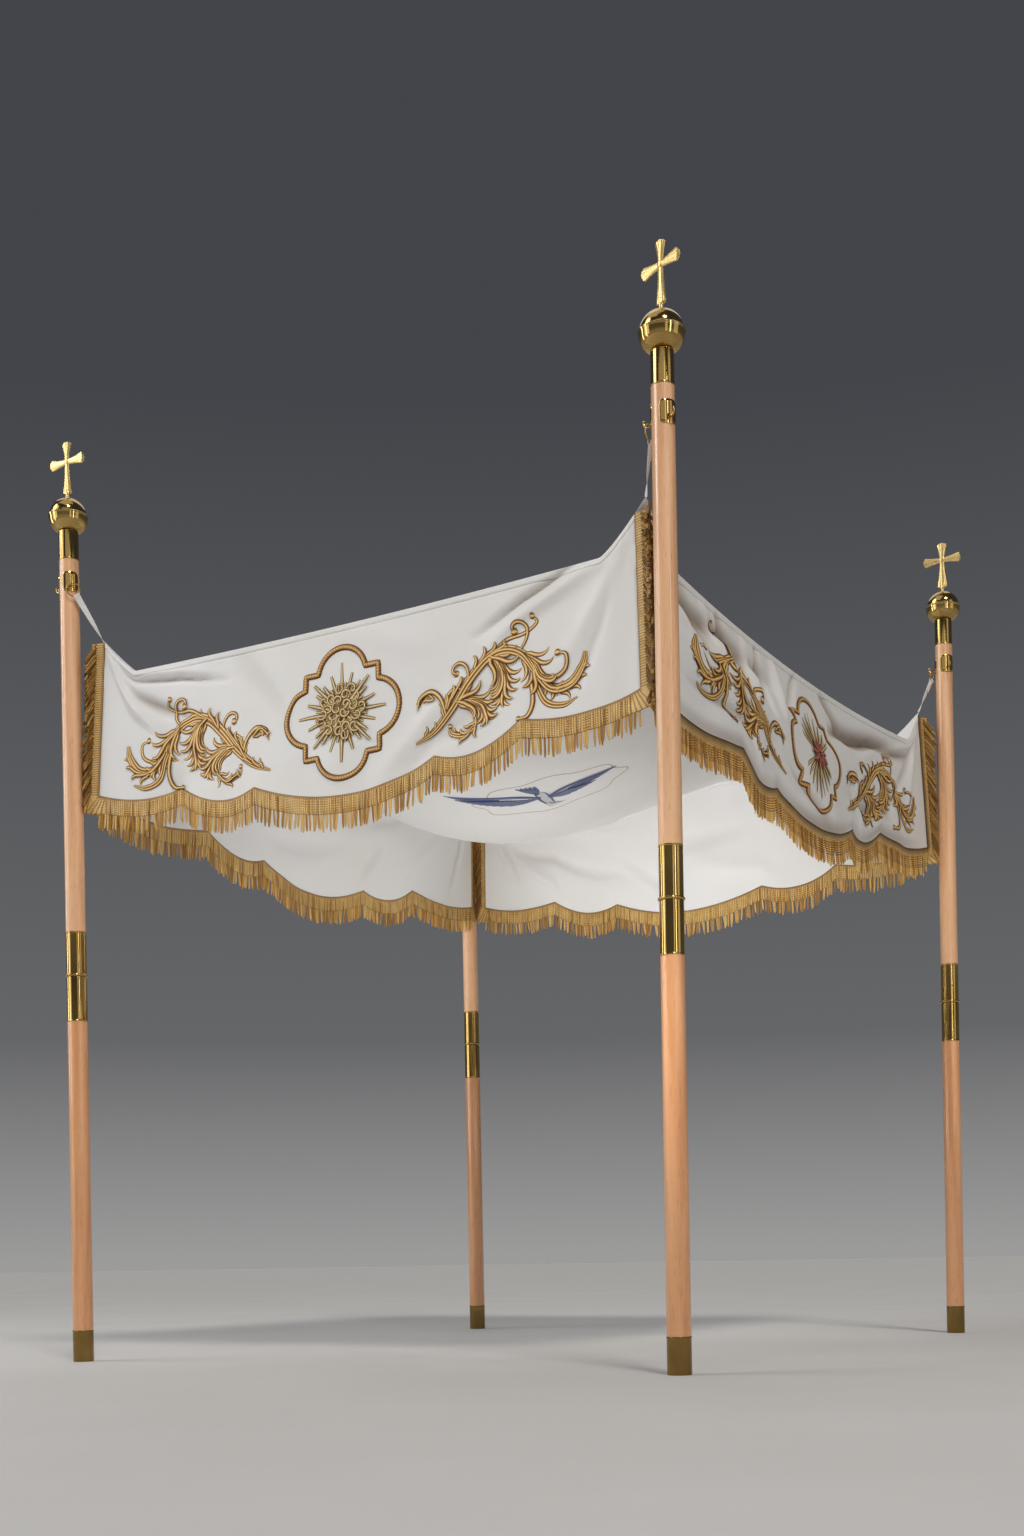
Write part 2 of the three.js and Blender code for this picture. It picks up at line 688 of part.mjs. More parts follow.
// A strap from the ring to the cloth's corner, with an eye round the ring's wire.
function strap(corner) {
  const { middle, pull, bearing } = ringPlace(corner);
  const eye = middle.clone().addScaledVector(pull, RING_RADIUS).applyMatrix4(poleMatrix(corner));
  const tip = new THREE.Vector3(corner.sx * CORNER_X, corner.sy * CORNER_Y, CORNER_HEIGHT + CLOTH / 2);
  const run = tip.clone().sub(eye);
  const length = run.length() - GAP;
  const way = run.normalize();
  const wire = new THREE.Vector3(Math.cos(bearing), Math.sin(bearing), 0).cross(pull);
  const across = wire.clone().addScaledVector(way, -wire.dot(way)).normalize();
  const face = across.clone().cross(way);
  const root = Math.asin(STRAP_THICKNESS / 2 / EYE_OUTER);
  const outline = new THREE.Shape();
  outline.moveTo(length, -STRAP_THICKNESS / 2);
  outline.lineTo(length, STRAP_THICKNESS / 2);
  outline.absarc(0, 0, EYE_OUTER, root, Math.PI * 2 - root, false);
  outline.closePath();
  const hole = new THREE.Path();
  hole.absarc(0, 0, EYE_INNER, 0, Math.PI * 2, true);
  outline.holes.push(hole);
  const geometry = new THREE.ExtrudeGeometry(outline, {
    depth: STRAP_WIDTH,
    bevelEnabled: false,
    curveSegments: 6,
  });
  geometry.translate(0, 0, -STRAP_WIDTH / 2);
  const place = new THREE.Matrix4().makeBasis(way, face, across).setPosition(eye);
  return geometry.applyMatrix4(place);
}

// One pole with its brass fittings, its finial and its ring.
function pole(corner) {
  const { name } = corner;
  const bearings = hookBearings(corner);
  const group = new THREE.Group();
  const half = COUPLING_MIDDLE;
  const parts = [
    ["ferrule", cup(0, FERRULE_TOP), "brass"],
    [
      "lower_pole",
      woodenPole(
        { fittingEnd: 0, shoulder: FERRULE_TOP },
        { fittingEnd: half - GAP, shoulder: COUPLING_BOTTOM },
      ),
      "wood",
    ],
    ["lower_coupling", cup(half - GAP, COUPLING_BOTTOM), "brass"],
    ["upper_coupling", cup(half, COUPLING_TOP, BEAD_RADIUS), "brass"],
    [
      "upper_pole",
      woodenPole(
        { fittingEnd: half, shoulder: COUPLING_TOP },
        { fittingEnd: COLLAR_TOP, shoulder: COLLAR_BOTTOM },
      ),
      "wood",
    ],
    ["collar", cup(COLLAR_TOP, COLLAR_BOTTOM), "brass"],
    ["ball", ball(), "brass"],
    ["cross", cross().rotateZ(corner.crossTurn), "brass"],
    ["inner_hook", hookPlate(bearings.inner), "brass"],
    ["outer_hook", hookPlate(bearings.outer), "brass"],
    ["ring", ring(corner), "brass"],
  ];
  for (const [part, geometry, material] of parts)
    group.add(named(`${part}_${name}`, geometry, MATERIALS[material]));
  group.matrixAutoUpdate = false;
  group.matrix.copy(poleMatrix(corner));
  return group;
}

const canopy = new THREE.Group();
for (const corner of CORNERS) {
  canopy.add(pole(corner));
  canopy.add(named(`strap_${corner.name}`, strap(corner), MATERIALS.cloth));
}
canopy.add(named("ceiling", ceilingSheet(), MATERIALS.cloth));
for (const valance of VALANCES) {
  canopy.add(named(`valance_${valance.name}`, valanceSheet(valance), MATERIALS.cloth));
  canopy.add(named(`fringe_${valance.name}`, fringe(valance), MATERIALS.fringe));
}

export default canopy;
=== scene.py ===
"""Looks of the processional canopy: fine cloth, embroidery, bullion fringe, turned poles and polished brass.

Everything is in metres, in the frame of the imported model: the origin is on the floor midway between the
poles, +Z is up, the front valance faces -Y and the right one faces +X.
"""
import math

import bpy
import numpy as np
from mathutils import Matrix


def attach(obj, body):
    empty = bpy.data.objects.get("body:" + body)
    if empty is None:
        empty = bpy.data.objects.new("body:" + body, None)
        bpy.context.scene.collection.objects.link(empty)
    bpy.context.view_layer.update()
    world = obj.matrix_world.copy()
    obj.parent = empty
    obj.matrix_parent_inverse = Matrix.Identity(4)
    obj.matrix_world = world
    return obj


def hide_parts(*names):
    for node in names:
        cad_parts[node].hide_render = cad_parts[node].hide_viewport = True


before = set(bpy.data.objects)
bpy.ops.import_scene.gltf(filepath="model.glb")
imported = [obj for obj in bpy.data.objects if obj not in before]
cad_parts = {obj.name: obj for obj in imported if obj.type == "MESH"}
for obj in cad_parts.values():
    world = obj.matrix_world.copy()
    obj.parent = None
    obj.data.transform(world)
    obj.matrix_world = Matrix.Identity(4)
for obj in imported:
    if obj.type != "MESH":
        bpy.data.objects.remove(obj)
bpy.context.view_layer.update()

MM = 0.001
GAP = 0.4 * MM
DOWN = np.array([0, 0, -1.0])
WHITE = (1, 1, 1)
rng = np.random.default_rng(7)

# Poles and their brass fittings, as in the solids.
CORNERS = {"front_left": (-1, -1), "front_right": (1, -1), "back_right": (1, 1), "back_left": (-1, 1)}
# For each pole: its inner and outer hook's turns from the X direction, its ring's tilt and its cross's turn.
TURNS = {
    "front_left": (-0.7, 0.0, 0.5, 0.0), "front_right": (0.0, -0.6, 0.38, -0.38),
    "back_right": (0.0, -0.87, 0.38, 0.0), "back_left": (0.0, 0.0, 0.38, 0.0),
}
POLE_HALF_X, POLE_HALF_Y, POLE_SPLAY = 0.81, 0.91, 0.018
POLE_RADIUS, SLEEVE_RADIUS = 0.025, 0.0252
FERRULE_TOP, COUPLING_BOTTOM, COUPLING_MIDDLE, COUPLING_TOP = 0.076, 0.841, 0.954, 1.068
COLLAR_BOTTOM, COLLAR_TOP, BALL_MIDDLE, DOME_TOP, CROSS_FOOT = 2.032, 2.1092, 2.151, 2.197, 2.2115
CROSS_BAR, CROSS_TOP, CROSS_HALF_SPAN = 2.298, 2.35, 0.056
PLATE_BOTTOM, PLATE_HEIGHT, PLATE_HALF_ANGLE = 1.945, 0.052, 0.85
HOOK_HEIGHT, HOOK_REACH, HOOK_RISE, HOOK_WIRE = 1.957, 0.045, 0.015, 0.0026
RING_RADIUS, RING_WIRE, RING_FROM_POLE = 0.017, 0.0017, 0.035

# Cloth, as in the solids.
CORNER_HEIGHT, SEAM_HEIGHT = 1.83, 1.725
CORNER_X = POLE_HALF_X + POLE_SPLAY * CORNER_HEIGHT - 0.065
CORNER_Y = POLE_HALF_Y + POLE_SPLAY * CORNER_HEIGHT - 0.045
CORNER_REACH, CORNER_POWER = 0.115, 1.25
EDGE_BOW, HEM_SWING = 0.018, 0.01
BELLY, BELLY_POWER, BELLY_SHIFT_X, BELLY_SHIFT_Y, EDGE_SAG_POWER = 0.325, 1.25, -0.2, -0.04, 6
CLOTH = 1.4 * MM
HEM_END_DROP, HEM_END_SCALLOP = 0.308, 0.02
HEM_PEAKS = [(-0.49, 0.32, 0.032), (-0.252, 0.358, 0.054), (0.252, 0.358, 0.032), (0.49, 0.32, 0.02)]
HEM_NET, END_NET, FRINGE_DROP = 0.044, 0.036, 0.085
CORDS_START, TUCKED_START, END_CORDS_START = 0.007, 0.03, 0.022

# The scrolls' stretch and rise on each side, and what only some valances have: their design set lower or
# higher, and a hem tucked inwards.
PLAIN = dict(scrolls=((1.0, 0), (1.0, 0)), sink=0.0, lift=0.0, tuck=0.0)

# The valances. Folds are (place, width, depth at the hem), as in the solids. Creases are finer: each runs
# from one (share, down) to another and has a half width and a height in millimetres.
VALANCES = {
    "front": dict(
        PLAIN, along=(1, 0), out=(0, -1), half=CORNER_X, reach=CORNER_Y, insets=(0.014, 0.028), slip=-0.03,
        seam_sag=0.006,
        folds=[(-0.66, 0.17, -12), (-0.28, 0.24, 13), (0.18, 0.2, -8), (0.62, 0.2, 12)],
        creases=[
            (0.905, -0.02, 0.72, 0.30, 9, -14), (0.95, 0.0, 0.74, 0.40, 18, 13),
            (0.985, 0.02, 0.86, 0.75, 26, 8), (0.965, 0.12, 0.90, 0.85, 16, -6),
            (0.035, 0.06, 0.27, 0.19, 8, -12), (0.03, 0.0, 0.22, 0.11, 12, 10),
            (0.012, 0.05, 0.13, 0.55, 15, 15), (0.03, 0.12, 0.19, 0.48, 15, -14),
            (0.10, 0.5, 0.16, 0.95, 24, 6), (0.28, 0.05, 0.42, 0.6, 34, -5),
            (0.34, 0.1, 0.5, 0.9, 34, 5), (0.55, 0.95, 0.74, 0.5, 26, 6),
            (0.6, 0.98, 0.8, 0.62, 22, -5), (0.42, 0.72, 0.52, 0.98, 24, 5),
            (0.5, 0.02, 0.66, 0.3, 26, 4),
        ],
    ),
    "right": dict(
        PLAIN, along=(0, 1), out=(1, 0), half=CORNER_Y, reach=CORNER_X, insets=(0.014, 0.016), slip=0.008,
        sink=0.02, seam_sag=0.036, scrolls=((1.14, 70), (1.3, 25)), lift=0.016, tuck=0.45,
        folds=[(-0.1, 0.95, 42), (-0.6, 0.16, 18), (-0.26, 0.1, -9), (0.06, 0.16, 14), (0.42, 0.13, -10),
               (0.68, 0.12, 12)],
        creases=[
            (0.03, 0.18, 0.4, 0.22, 24, -22), (0.05, 0.52, 0.95, 0.5, 66, 14),
            (0.07, 0.02, 0.2, 0.5, 17, -14), (0.6, 0.26, 0.98, 0.14, 25, -24),
            (0.2, 0.04, 0.27, 0.42, 12, -21), (0.15, 0.06, 0.23, 0.5, 12, 17),
            (0.64, 0.7, 0.84, 0.84, 20, -14), (0.4, 0.7, 0.55, 0.95, 18, -12),
            (0.08, 0.7, 0.3, 0.78, 18, -13), (0.012, 0.02, 0.15, 0.6, 16, 14),
            (0.33, 0.05, 0.37, 0.5, 12, -22), (0.28, 0.06, 0.32, 0.45, 12, 18),
            (0.47, 0.04, 0.43, 0.34, 12, -18), (0.385, 0.05, 0.41, 0.45, 13, 17),
            (0.6, 0.27, 0.94, 0.15, 15, -13), (0.99, 0.02, 0.7, 0.36, 15, 14),
            (0.98, 0.08, 0.88, 0.85, 15, 10), (0.95, 0.2, 0.8, 0.8, 16, -11),
            (0.02, 0.97, 0.4, 0.99, 20, -13), (0.36, 0.98, 0.7, 0.99, 20, -15),
            (0.26, 0.55, 0.3, 0.98, 16, 9), (0.66, 0.98, 0.98, 0.97, 20, -13),
            (0.66, 0.5, 0.7, 0.98, 16, 9), (0.57, 0.03, 0.66, 0.24, 12, -17),
        ],
    ),
    "back": dict(
        PLAIN, along=(-1, 0), out=(0, 1), half=CORNER_X, reach=CORNER_Y, insets=(0.016, 0.036), slip=-0.012,
        seam_sag=0.014,
        folds=[(-0.52, 0.2, 16), (-0.05, 0.24, -12), (0.5, 0.18, 18)],
        creases=[
            (0.98, 0.2, 0.80, 0.93, 14, -12), (0.94, 0.4, 0.6, 0.8, 20, 10),
            (0.9, 0.15, 0.62, 0.35, 20, -9), (0.985, 0.05, 0.9, 0.8, 14, 9),
            (0.012, 0.03, 0.24, 0.3, 14, 11), (0.02, 0.1, 0.2, 0.6, 16, -9),
            (0.35, 0.45, 0.62, 0.5, 32, 8), (0.3, 0.9, 0.48, 0.6, 24, -8),
            (0.66, 0.55, 0.5, 0.95, 20, 7), (0.2, 0.2, 0.4, 0.25, 26, -6),
        ],
    ),
    "left": dict(
        PLAIN, along=(0, -1), out=(-1, 0), half=CORNER_Y, reach=CORNER_X, insets=(0.036, 0.018), slip=0.016,
        seam_sag=0.014, scrolls=((1.14, 0), (1.14, 0)),
        folds=[(-0.6, 0.2, -12), (-0.12, 0.26, 20), (0.44, 0.18, -10), (0.76, 0.12, 14)],
        creases=[
            (0.015, 0.1, 0.09, 0.95, 13, 10), (0.05, 0.1, 0.26, 0.85, 18, -11),
            (0.12, 0.1, 0.45, 0.5, 22, 9), (0.985, 0.05, 0.76, 0.4, 15, 10),
            (0.95, 0.1, 0.74, 0.7, 17, -9), (0.4, 0.6, 0.66, 0.8, 28, 7),
            (0.55, 0.3, 0.72, 0.28, 26, -7), (0.3, 0.5, 0.38, 0.98, 22, 7),
        ],
    ),
}


# Meshes from arrays.

def linked(name, data):
    """An object in the scene for a mesh, light or camera."""
    thing = bpy.data.objects.new(name, data)
    bpy.context.scene.collection.objects.link(thing)
    return thing


def add_mesh(name, material, verts, faces, uv=None):
    """A smooth-shaded object from points and faces, with one UV pair for each point if uv is given."""
    mesh = bpy.data.meshes.new(name)
    mesh.from_pydata(np.asarray(verts).tolist(), [], [list(f) for f in faces])
    mesh.materials.append(material)
    mesh.shade_smooth()
    if uv is not None:
        layer = mesh.uv_layers.new(name="run")
        corner_points = np.empty(len(mesh.loops), np.int32)
        mesh.loops.foreach_get("vertex_index", corner_points)
        layer.data.foreach_set("uv", np.asarray(uv, np.float32)[corner_points].ravel())
    return linked(name, mesh)


def place(piece, slot, *nodes):
    """Every piece rides on the one body and may stand for CAD nodes, which are hidden; slot is not used."""
    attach(piece, "root")
    if nodes:
        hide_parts(*nodes)
    return piece


def sharpen(piece, degrees=35):
    """Edges sharper than this stay crisp."""
    piece.data.set_sharp_from_angle(angle=math.radians(degrees))
    return piece


def join(parts):
    """One body from several: points, faces and, where the parts have them, UV pairs."""
    faces, base = [], 0
    for verts, part_faces, *_ in parts:
        rows = part_faces.tolist() if isinstance(part_faces, np.ndarray) else part_faces
        faces += [[corner + base for corner in row] for row in rows]
        base += len(verts)
    verts, *uv = (np.concatenate(column) for column in zip(*[(part[0], *part[2:]) for part in parts]))
    return verts, faces, *uv


def unit_rows(vectors):
    """The same directions with a length of one."""
    return vectors / np.linalg.norm(vectors, axis=-1, keepdims=True)


def circle(count):
    """Angles set evenly round a circle."""
    return np.arange(count) / count * 2 * math.pi


def polar(angle):
    """Points on the unit circle."""
    return np.stack([np.cos(angle), np.sin(angle)], -1)


def grid_faces(rows, columns, wrap=False):
    """Quads over a grid of points stored row by row; wrap joins the last column to the first."""
    r = np.arange(rows - 1)[:, None]
    c = np.arange(columns if wrap else columns - 1)[None, :]
    here, below, after = r * columns, (r + 1) * columns, (c + 1) % columns
    return np.stack([here + c, here + after, below + after, below + c], -1).reshape(-1, 4)


def slab(upper, lower):
    """A closed thin body between two grids of points: both skins and the rim that joins them."""
    rows, columns = upper.shape[:2]
    top = grid_faces(rows, columns)
    bottom = top[:, ::-1] + rows * columns
    index = np.arange(rows * columns).reshape(rows, columns)
    edge = np.concatenate([index[0, :-1], index[:-1, -1], index[-1, :0:-1], index[:0:-1, 0]])
    after = np.roll(edge, -1)
    rim = np.stack([after, edge, edge + rows * columns, after + rows * columns], -1)
    verts = np.concatenate([upper.reshape(-1, 3), lower.reshape(-1, 3)])
    return verts, np.concatenate([top, bottom, rim])


EASE_POINTS = 4


def rounded(profile, radius):
    """A turned profile with its inner corners eased by short curves."""
    points = np.asarray(profile, float)
    out = [points[0]]
    for before, here, after in zip(points[:-2], points[1:-1], points[2:]):
        back, ahead = before - here, after - here
        cut = min(radius, 0.45 * np.linalg.norm(back), 0.45 * np.linalg.norm(ahead))
        start, end = here + unit_rows(back) * cut, here + unit_rows(ahead) * cut
        for t in np.linspace(0, 1, EASE_POINTS):
            out.append((1 - t) ** 2 * start + 2 * t * (1 - t) * here + t**2 * end)
    return np.array(out + [points[-1]])


def capped(rings, ends):
    """A closed body from rings of points, one after another, and the point that closes each end."""
    count, sides = rings.shape[:2]
    body = rings.reshape(-1, 3)
    faces = grid_faces(count, sides, wrap=True).tolist()
    last = (count - 1) * sides
    for n in range(sides):
        after = (n + 1) % sides
        faces += [[after, n, len(body)], [last + n, last + after, len(body) + 1]]
    return np.concatenate([body, ends]), faces


def turned(profile, segments=48):
    """A turned solid: profile is (radius, height) from the axis round to the axis."""
    profile = np.asarray(profile, float)
    radius, height = profile[1:-1, :1], profile[1:-1, 1:]
    x, y = polar(circle(segments)).T
    rings = np.stack([radius * x, radius * y, height + 0 * x], -1)
    return capped(rings, [[0, 0, profile[0, 1]], [0, 0, profile[-1, 1]]])


def rings_about(paths, radius, angle, aside):
    """Rings of points round one path or many; aside is a direction that no path takes."""
    tangent = unit_rows(np.gradient(paths, axis=-2))
    side = unit_rows(np.cross(tangent, aside))
    other = np.cross(tangent, side)
    ring = np.cos(angle)[:, None] * side[..., None, :] + np.sin(angle)[:, None] * other[..., None, :]
    return paths[..., None, :] + radius[..., None, None] * ring


def smooth_path(points, count):
    """A Catmull-Rom curve through a few points."""
    points = np.asarray(points, float)
    padded = np.concatenate([2 * points[:1] - points[1:2], points, 2 * points[-1:] - points[-2:-1]])
    t = np.linspace(0, len(points) - 1, count)
    i = np.minimum(t.astype(int), len(points) - 2)
    f = (t - i)[:, None]
    a, b, c, d = (padded[i + k] for k in range(4))
    return 0.5 * (2 * b + (c - a) * f + (2 * a - 5 * b + 4 * c - d) * f**2 + (3 * b - a - 3 * c + d) * f**3)


def run_along(points):
    """The length along one path or many, up to each of its points."""
    steps = np.linalg.norm(np.diff(points, axis=-2), axis=-1)
    return np.cumsum(np.concatenate([0 * steps[..., :1], steps], -1), axis=-1)


# Materials. Constant values are set on the shader itself, and only what varies is linked.

class Nodes:
    """A tree of shader nodes. A value that is a socket is linked to the input it names; any other is set."""

    def __init__(self, tree):
        self.tree = tree

    def set(self, node, **values):
        for name, value in values.items():
            socket = node.inputs.get(name.replace("_", " "))
            if socket is None:
                setattr(node, name, value)
            elif isinstance(value, bpy.types.NodeSocket):
                self.tree.links.new(value, socket)
            else:
                socket.default_value = value
        return node

    def node(self, kind, **values):
        return self.set(self.tree.nodes.new("ShaderNode" + kind), **values)

    def part(self, vector, axis):
        return self.node("SeparateXYZ", Vector=vector).outputs[axis]

    def ramp(self, factor, *stops):
        made = self.node("ValToRGB", Fac=factor)
        elements = made.color_ramp.elements
        while len(elements) < len(stops):
            elements.new(0.5)
        for element, (position, color) in zip(elements, stops):
            element.position = position
            element.color = (*color, 1)
        return made.outputs["Color"]


class Shader(Nodes):
    """A material with its Principled shader, and short ways to add the textures that vary over it."""

    def __init__(self, name, color, roughness, metallic=0.0, **sockets):
        self.material = bpy.data.materials.new(name)
        self.material.use_nodes = True
        super().__init__(self.material.node_tree)
        self.bsdf = self.tree.nodes["Principled BSDF"]
        self.normal = None
        self.set(self.bsdf, Base_Color=(*color, 1), Roughness=roughness, Metallic=metallic, **sockets)

    def coordinates(self, kind, scale=(1, 1, 1)):
        source = self.node("TexCoord").outputs[kind]
        return self.node("Mapping", Vector=source, Scale=scale).outputs["Vector"]

    def uv(self, axis):
        return self.part(self.coordinates("UV"), axis)

    def noise(self, scale, detail, stretch=(1, 1, 1)):
        where = self.coordinates("Object", stretch)
        return self.node("TexNoise", Scale=scale, Detail=detail, Vector=where).outputs["Fac"]

    def wave(self, stretch, direction, distortion=0.0):
        where = self.coordinates("UV", stretch)
        made = self.node("TexWave", Scale=1.0, Distortion=distortion, bands_direction=direction)
        return self.set(made, Vector=where).outputs["Fac"]

    def mixed(self, first, second, factor=1.0, kind="MULTIPLY"):
        made = self.node("Mix", data_type="RGBA", blend_type=kind, Factor=factor, A=first, B=second)
        return made.outputs["Result"]

    def color(self, source):
        self.set(self.bsdf, Base_Color=source)

    def roughness(self, factor, low, high):
        made = self.node("MapRange", To_Min=low, To_Max=high, Value=factor)
        self.set(self.bsdf, Roughness=made.outputs["Result"])

    def bump(self, height, strength, distance):
        made = self.node("Bump", Strength=strength, Distance=distance, Height=height)
        if self.normal is not None:
            self.set(made, Normal=self.normal)
        self.normal = made.outputs["Normal"]
        self.set(self.bsdf, Normal=self.normal)


def cloth_material():
    """White satin: faint warm and cool drifts, a soft sheen, a fine weave, and hollows shaded by v."""
    made = Shader("white_satin", (0.8, 0.79, 0.77), 0.5, Sheen_Weight=0.25, Sheen_Roughness=0.35)
    drift = made.ramp(made.noise(2.2, 2.0), (0.3, (0.80, 0.785, 0.755)), (0.7, (0.83, 0.83, 0.83)))
    shade = made.ramp(made.uv("Y"), (0.05, WHITE), (1.0, (0.45, 0.375, 0.305)))
    made.color(made.mixed(drift, shade))
    made.roughness(made.noise(40, 4.0), 0.42, 0.58)
    made.bump(made.noise(9, 3.0), 0.3, 0.012)
    made.bump(made.noise(900, 1.0, (1, 1, 0.25)), 0.12, 0.0006)
    return made.material


def fringe_material(name, dark, middle, bright, net_depth):
    """Gold bullion: a two-ply twist, a tone for each cord, and crossing rows down to the net's depth."""
    made = Shader(name, middle, 0.48, 0.15, Specular_IOR_Level=0.3)
    cord = made.node("Math", operation="FLOOR", Value=made.uv("X")).outputs["Value"]
    tone = made.node("TexWhiteNoise", noise_dimensions="1D", W=cord).outputs["Value"]
    color = made.ramp(tone, (0.0, dark), (0.55, middle), (1.0, bright))
    twist = made.wave((1.2566, 126.0, 1.0), "DIAGONAL")
    ply = made.ramp(twist, (0.05, (0.32, 0.23, 0.14)), (0.55, (1.0, 0.97, 0.92)))
    rows = made.ramp(made.wave((0.0, 52.0, 1.0), "Y"), (0.12, (0.3, 0.22, 0.14)), (0.5, WHITE))
    below_net = made.ramp(made.uv("Y"), (net_depth, (0, 0, 0)), (net_depth + 0.006, WHITE))
    net = made.mixed(rows, below_net, 1.0, "LIGHTEN")
    made.color(made.mixed(made.mixed(color, ply, 0.85), net))
    made.bump(twist, 0.6, 0.0015)
    return made.material


def heading_material(name, top_shade, shade_end):
    """The fringe's netted heading: cords crossed by rows, shaded at its top by the hem above it."""
    made = Shader(name, (0.42, 0.29, 0.12), 0.5, 0.15)
    rows = made.wave((1.0, 3.6, 1.0), "Y")
    cords = made.wave((52.4, 1.0, 1.0), "X")
    tone = made.ramp(made.noise(30, 3.0), (0.3, (0.8, 0.52, 0.18)), (0.7, (1.0, 0.72, 0.31)))
    weave = made.mixed(
        made.ramp(rows, (0.1, (0.5, 0.42, 0.33)), (0.55, WHITE)),
        made.ramp(cords, (0.1, (0.42, 0.34, 0.25)), (0.5, WHITE)))
    shade = made.ramp(made.uv("Y"), (0.03, top_shade), (shade_end, WHITE))
    made.color(made.mixed(made.mixed(tone, weave, 0.9), shade))
    made.bump(rows, 0.5, 0.001)
    made.bump(cords, 0.4, 0.0008)
    return made.material


def thread_material(name, edge, middle, crest_highlight, twist=False):
    """Embroidery thread: v of the UV runs across a stroke; its dark sides are brown outline thread and
    painted shade, its crest a painted highlight.
    """
    made = Shader(name, middle, 0.42, 0.12, Specular_IOR_Level=0.3)
    tone = made.ramp(made.uv("Y"), (0.15, edge), (0.33, middle), (0.5, crest_highlight), (0.67, middle), (0.85, edge))
    if twist:
        stitch = made.wave((90.0, 0.4, 1.0), "DIAGONAL")
        groove, strength, distance = (0.62, 0.55, 0.48), 0.7, 0.002
    else:
        stitch = made.wave((160.0, 0.0, 1.0), "X", 1.5)
        groove, strength, distance = (0.82, 0.8, 0.77), 0.35, 0.0006
    made.color(made.mixed(tone, made.ramp(stitch, (0.1, groove), (0.6, WHITE)), 0.9))
    made.bump(stitch, strength, distance)
    return made.material


def metal_material(name, worn, bright, scale, detail, smooth, rough):
    """Brass or gilt: tone and polish change together, slowly where it is held and finely in a casting."""
    made = Shader(name, bright, rough, 1.0)
    change = made.noise(scale, detail)
    made.color(made.ramp(change, (0.3, worn), (0.7, bright)))
    made.roughness(change, smooth, rough)
    return made.material


def wood_material(name, dark, middle, light):
    """Varnished beech: long soft grain, short dark flecks and a satin coat."""
    made = Shader(name, middle, 0.34, Coat_Weight=1.0, Coat_Roughness=0.12)
    grain = made.ramp(made.noise(7, 5.0, (7, 7, 0.35)), (0.28, dark), (0.5, middle), (0.75, light))
    flecks = made.ramp(made.noise(55, 2.0, (5, 5, 0.5)), (0.3, (0.72, 0.66, 0.6)), (0.42, WHITE))
    made.color(made.mixed(grain, flecks, 0.55))
    made.bump(made.noise(40, 3.0, (6, 6, 0.4)), 0.08, 0.0006)
    return made.material


POLISHED, CAST = (14, 4.0, 0.08, 0.13), (120, 3.0, 0.3, 0.4)
CLOTH_WHITE = cloth_material()
BULLION = fringe_material("gold_bullion", (0.44, 0.23, 0.047), (0.87, 0.52, 0.145), (1.0, 0.77, 0.33), 0.034)
# The end cords take the same gold bullion painted darker: painted shade for cords that hang out of the
# light.
SHADED_END_BULLION = fringe_material(
    "shaded_bullion", (0.2, 0.1, 0.022), (0.42, 0.235, 0.062), (0.72, 0.46, 0.16), 0.0)
BRAID = heading_material("gold_heading", (0.5, 0.41, 0.32), 0.2)
SHADED_BRAID = heading_material("shaded_heading", (0.13, 0.09, 0.055), 0.42)
BRASS = metal_material("polished_brass", (0.43, 0.275, 0.084), (0.53, 0.36, 0.125), *POLISHED)
# The ferrules take the polished brass painted darker: a painted dark reflection where they would mirror the
# pale floor.
REFLECTION_DIMMED_BRASS = metal_material("reflection_dimmed_brass", (0.22, 0.14, 0.042), (0.32, 0.21, 0.07), *POLISHED)
GILT = metal_material("cast_gilt", (0.8, 0.58, 0.22), (0.9, 0.68, 0.3), *CAST)
PALE_BEECH = wood_material("pale_beech", (0.74, 0.385, 0.19), (0.88, 0.495, 0.258), (0.94, 0.58, 0.335))
WARM_BEECH = wood_material("warm_beech", (0.61, 0.265, 0.108), (0.74, 0.35, 0.15), (0.81, 0.425, 0.205))
# Thread colours go side, middle, crest: the crest colour is a painted highlight, and the side colour is
# partly painted shade.
GOLD_THREAD = thread_material("gold_thread", (0.12, 0.04, 0.009), (0.7, 0.38, 0.09), (1.0, 0.79, 0.37))
GOLD_CORD = thread_material("gold_cord", (0.16, 0.06, 0.014), (0.58, 0.31, 0.08), (0.88, 0.6, 0.24), True)
KHAKI_THREAD = thread_material("khaki_thread", (0.13, 0.072, 0.02), (0.6, 0.42, 0.165), (0.95, 0.77, 0.42))
RED_THREAD = thread_material("red_thread", (0.2, 0.04, 0.02), (0.45, 0.13, 0.08), (0.6, 0.25, 0.18))
BLUE_THREAD = thread_material("blue_thread", (0.06, 0.075, 0.17), (0.12, 0.145, 0.31), (0.32, 0.37, 0.54))
LINEN_THREAD = thread_material("linen_thread", (0.3, 0.26, 0.2), (0.4, 0.35, 0.28), (0.5, 0.45, 0.38))
SILVER_THREAD = thread_material("silver_thread", (0.4, 0.42, 0.48), (0.7, 0.72, 0.76), (0.88, 0.88, 0.88))


# Poles. Each part is made on an upright axis and then leans out with its pole.

def lean(points, corner):
    """Points about an upright pole at the origin, moved to a corner's leaning pole."""
    sx, sy = CORNERS[corner]
    x, y, z = np.asarray(points, float).T
    splay = POLE_SPLAY * z
    return np.stack([x + sx * (POLE_HALF_X + splay), y + sy * (POLE_HALF_Y + splay), z], -1)


def rod_profile(low, high):
    """A plain wooden rod with eased ends."""
    return rounded([(0, low), (POLE_RADIUS, low), (POLE_RADIUS, high), (0, high)], 0.6 * MM)


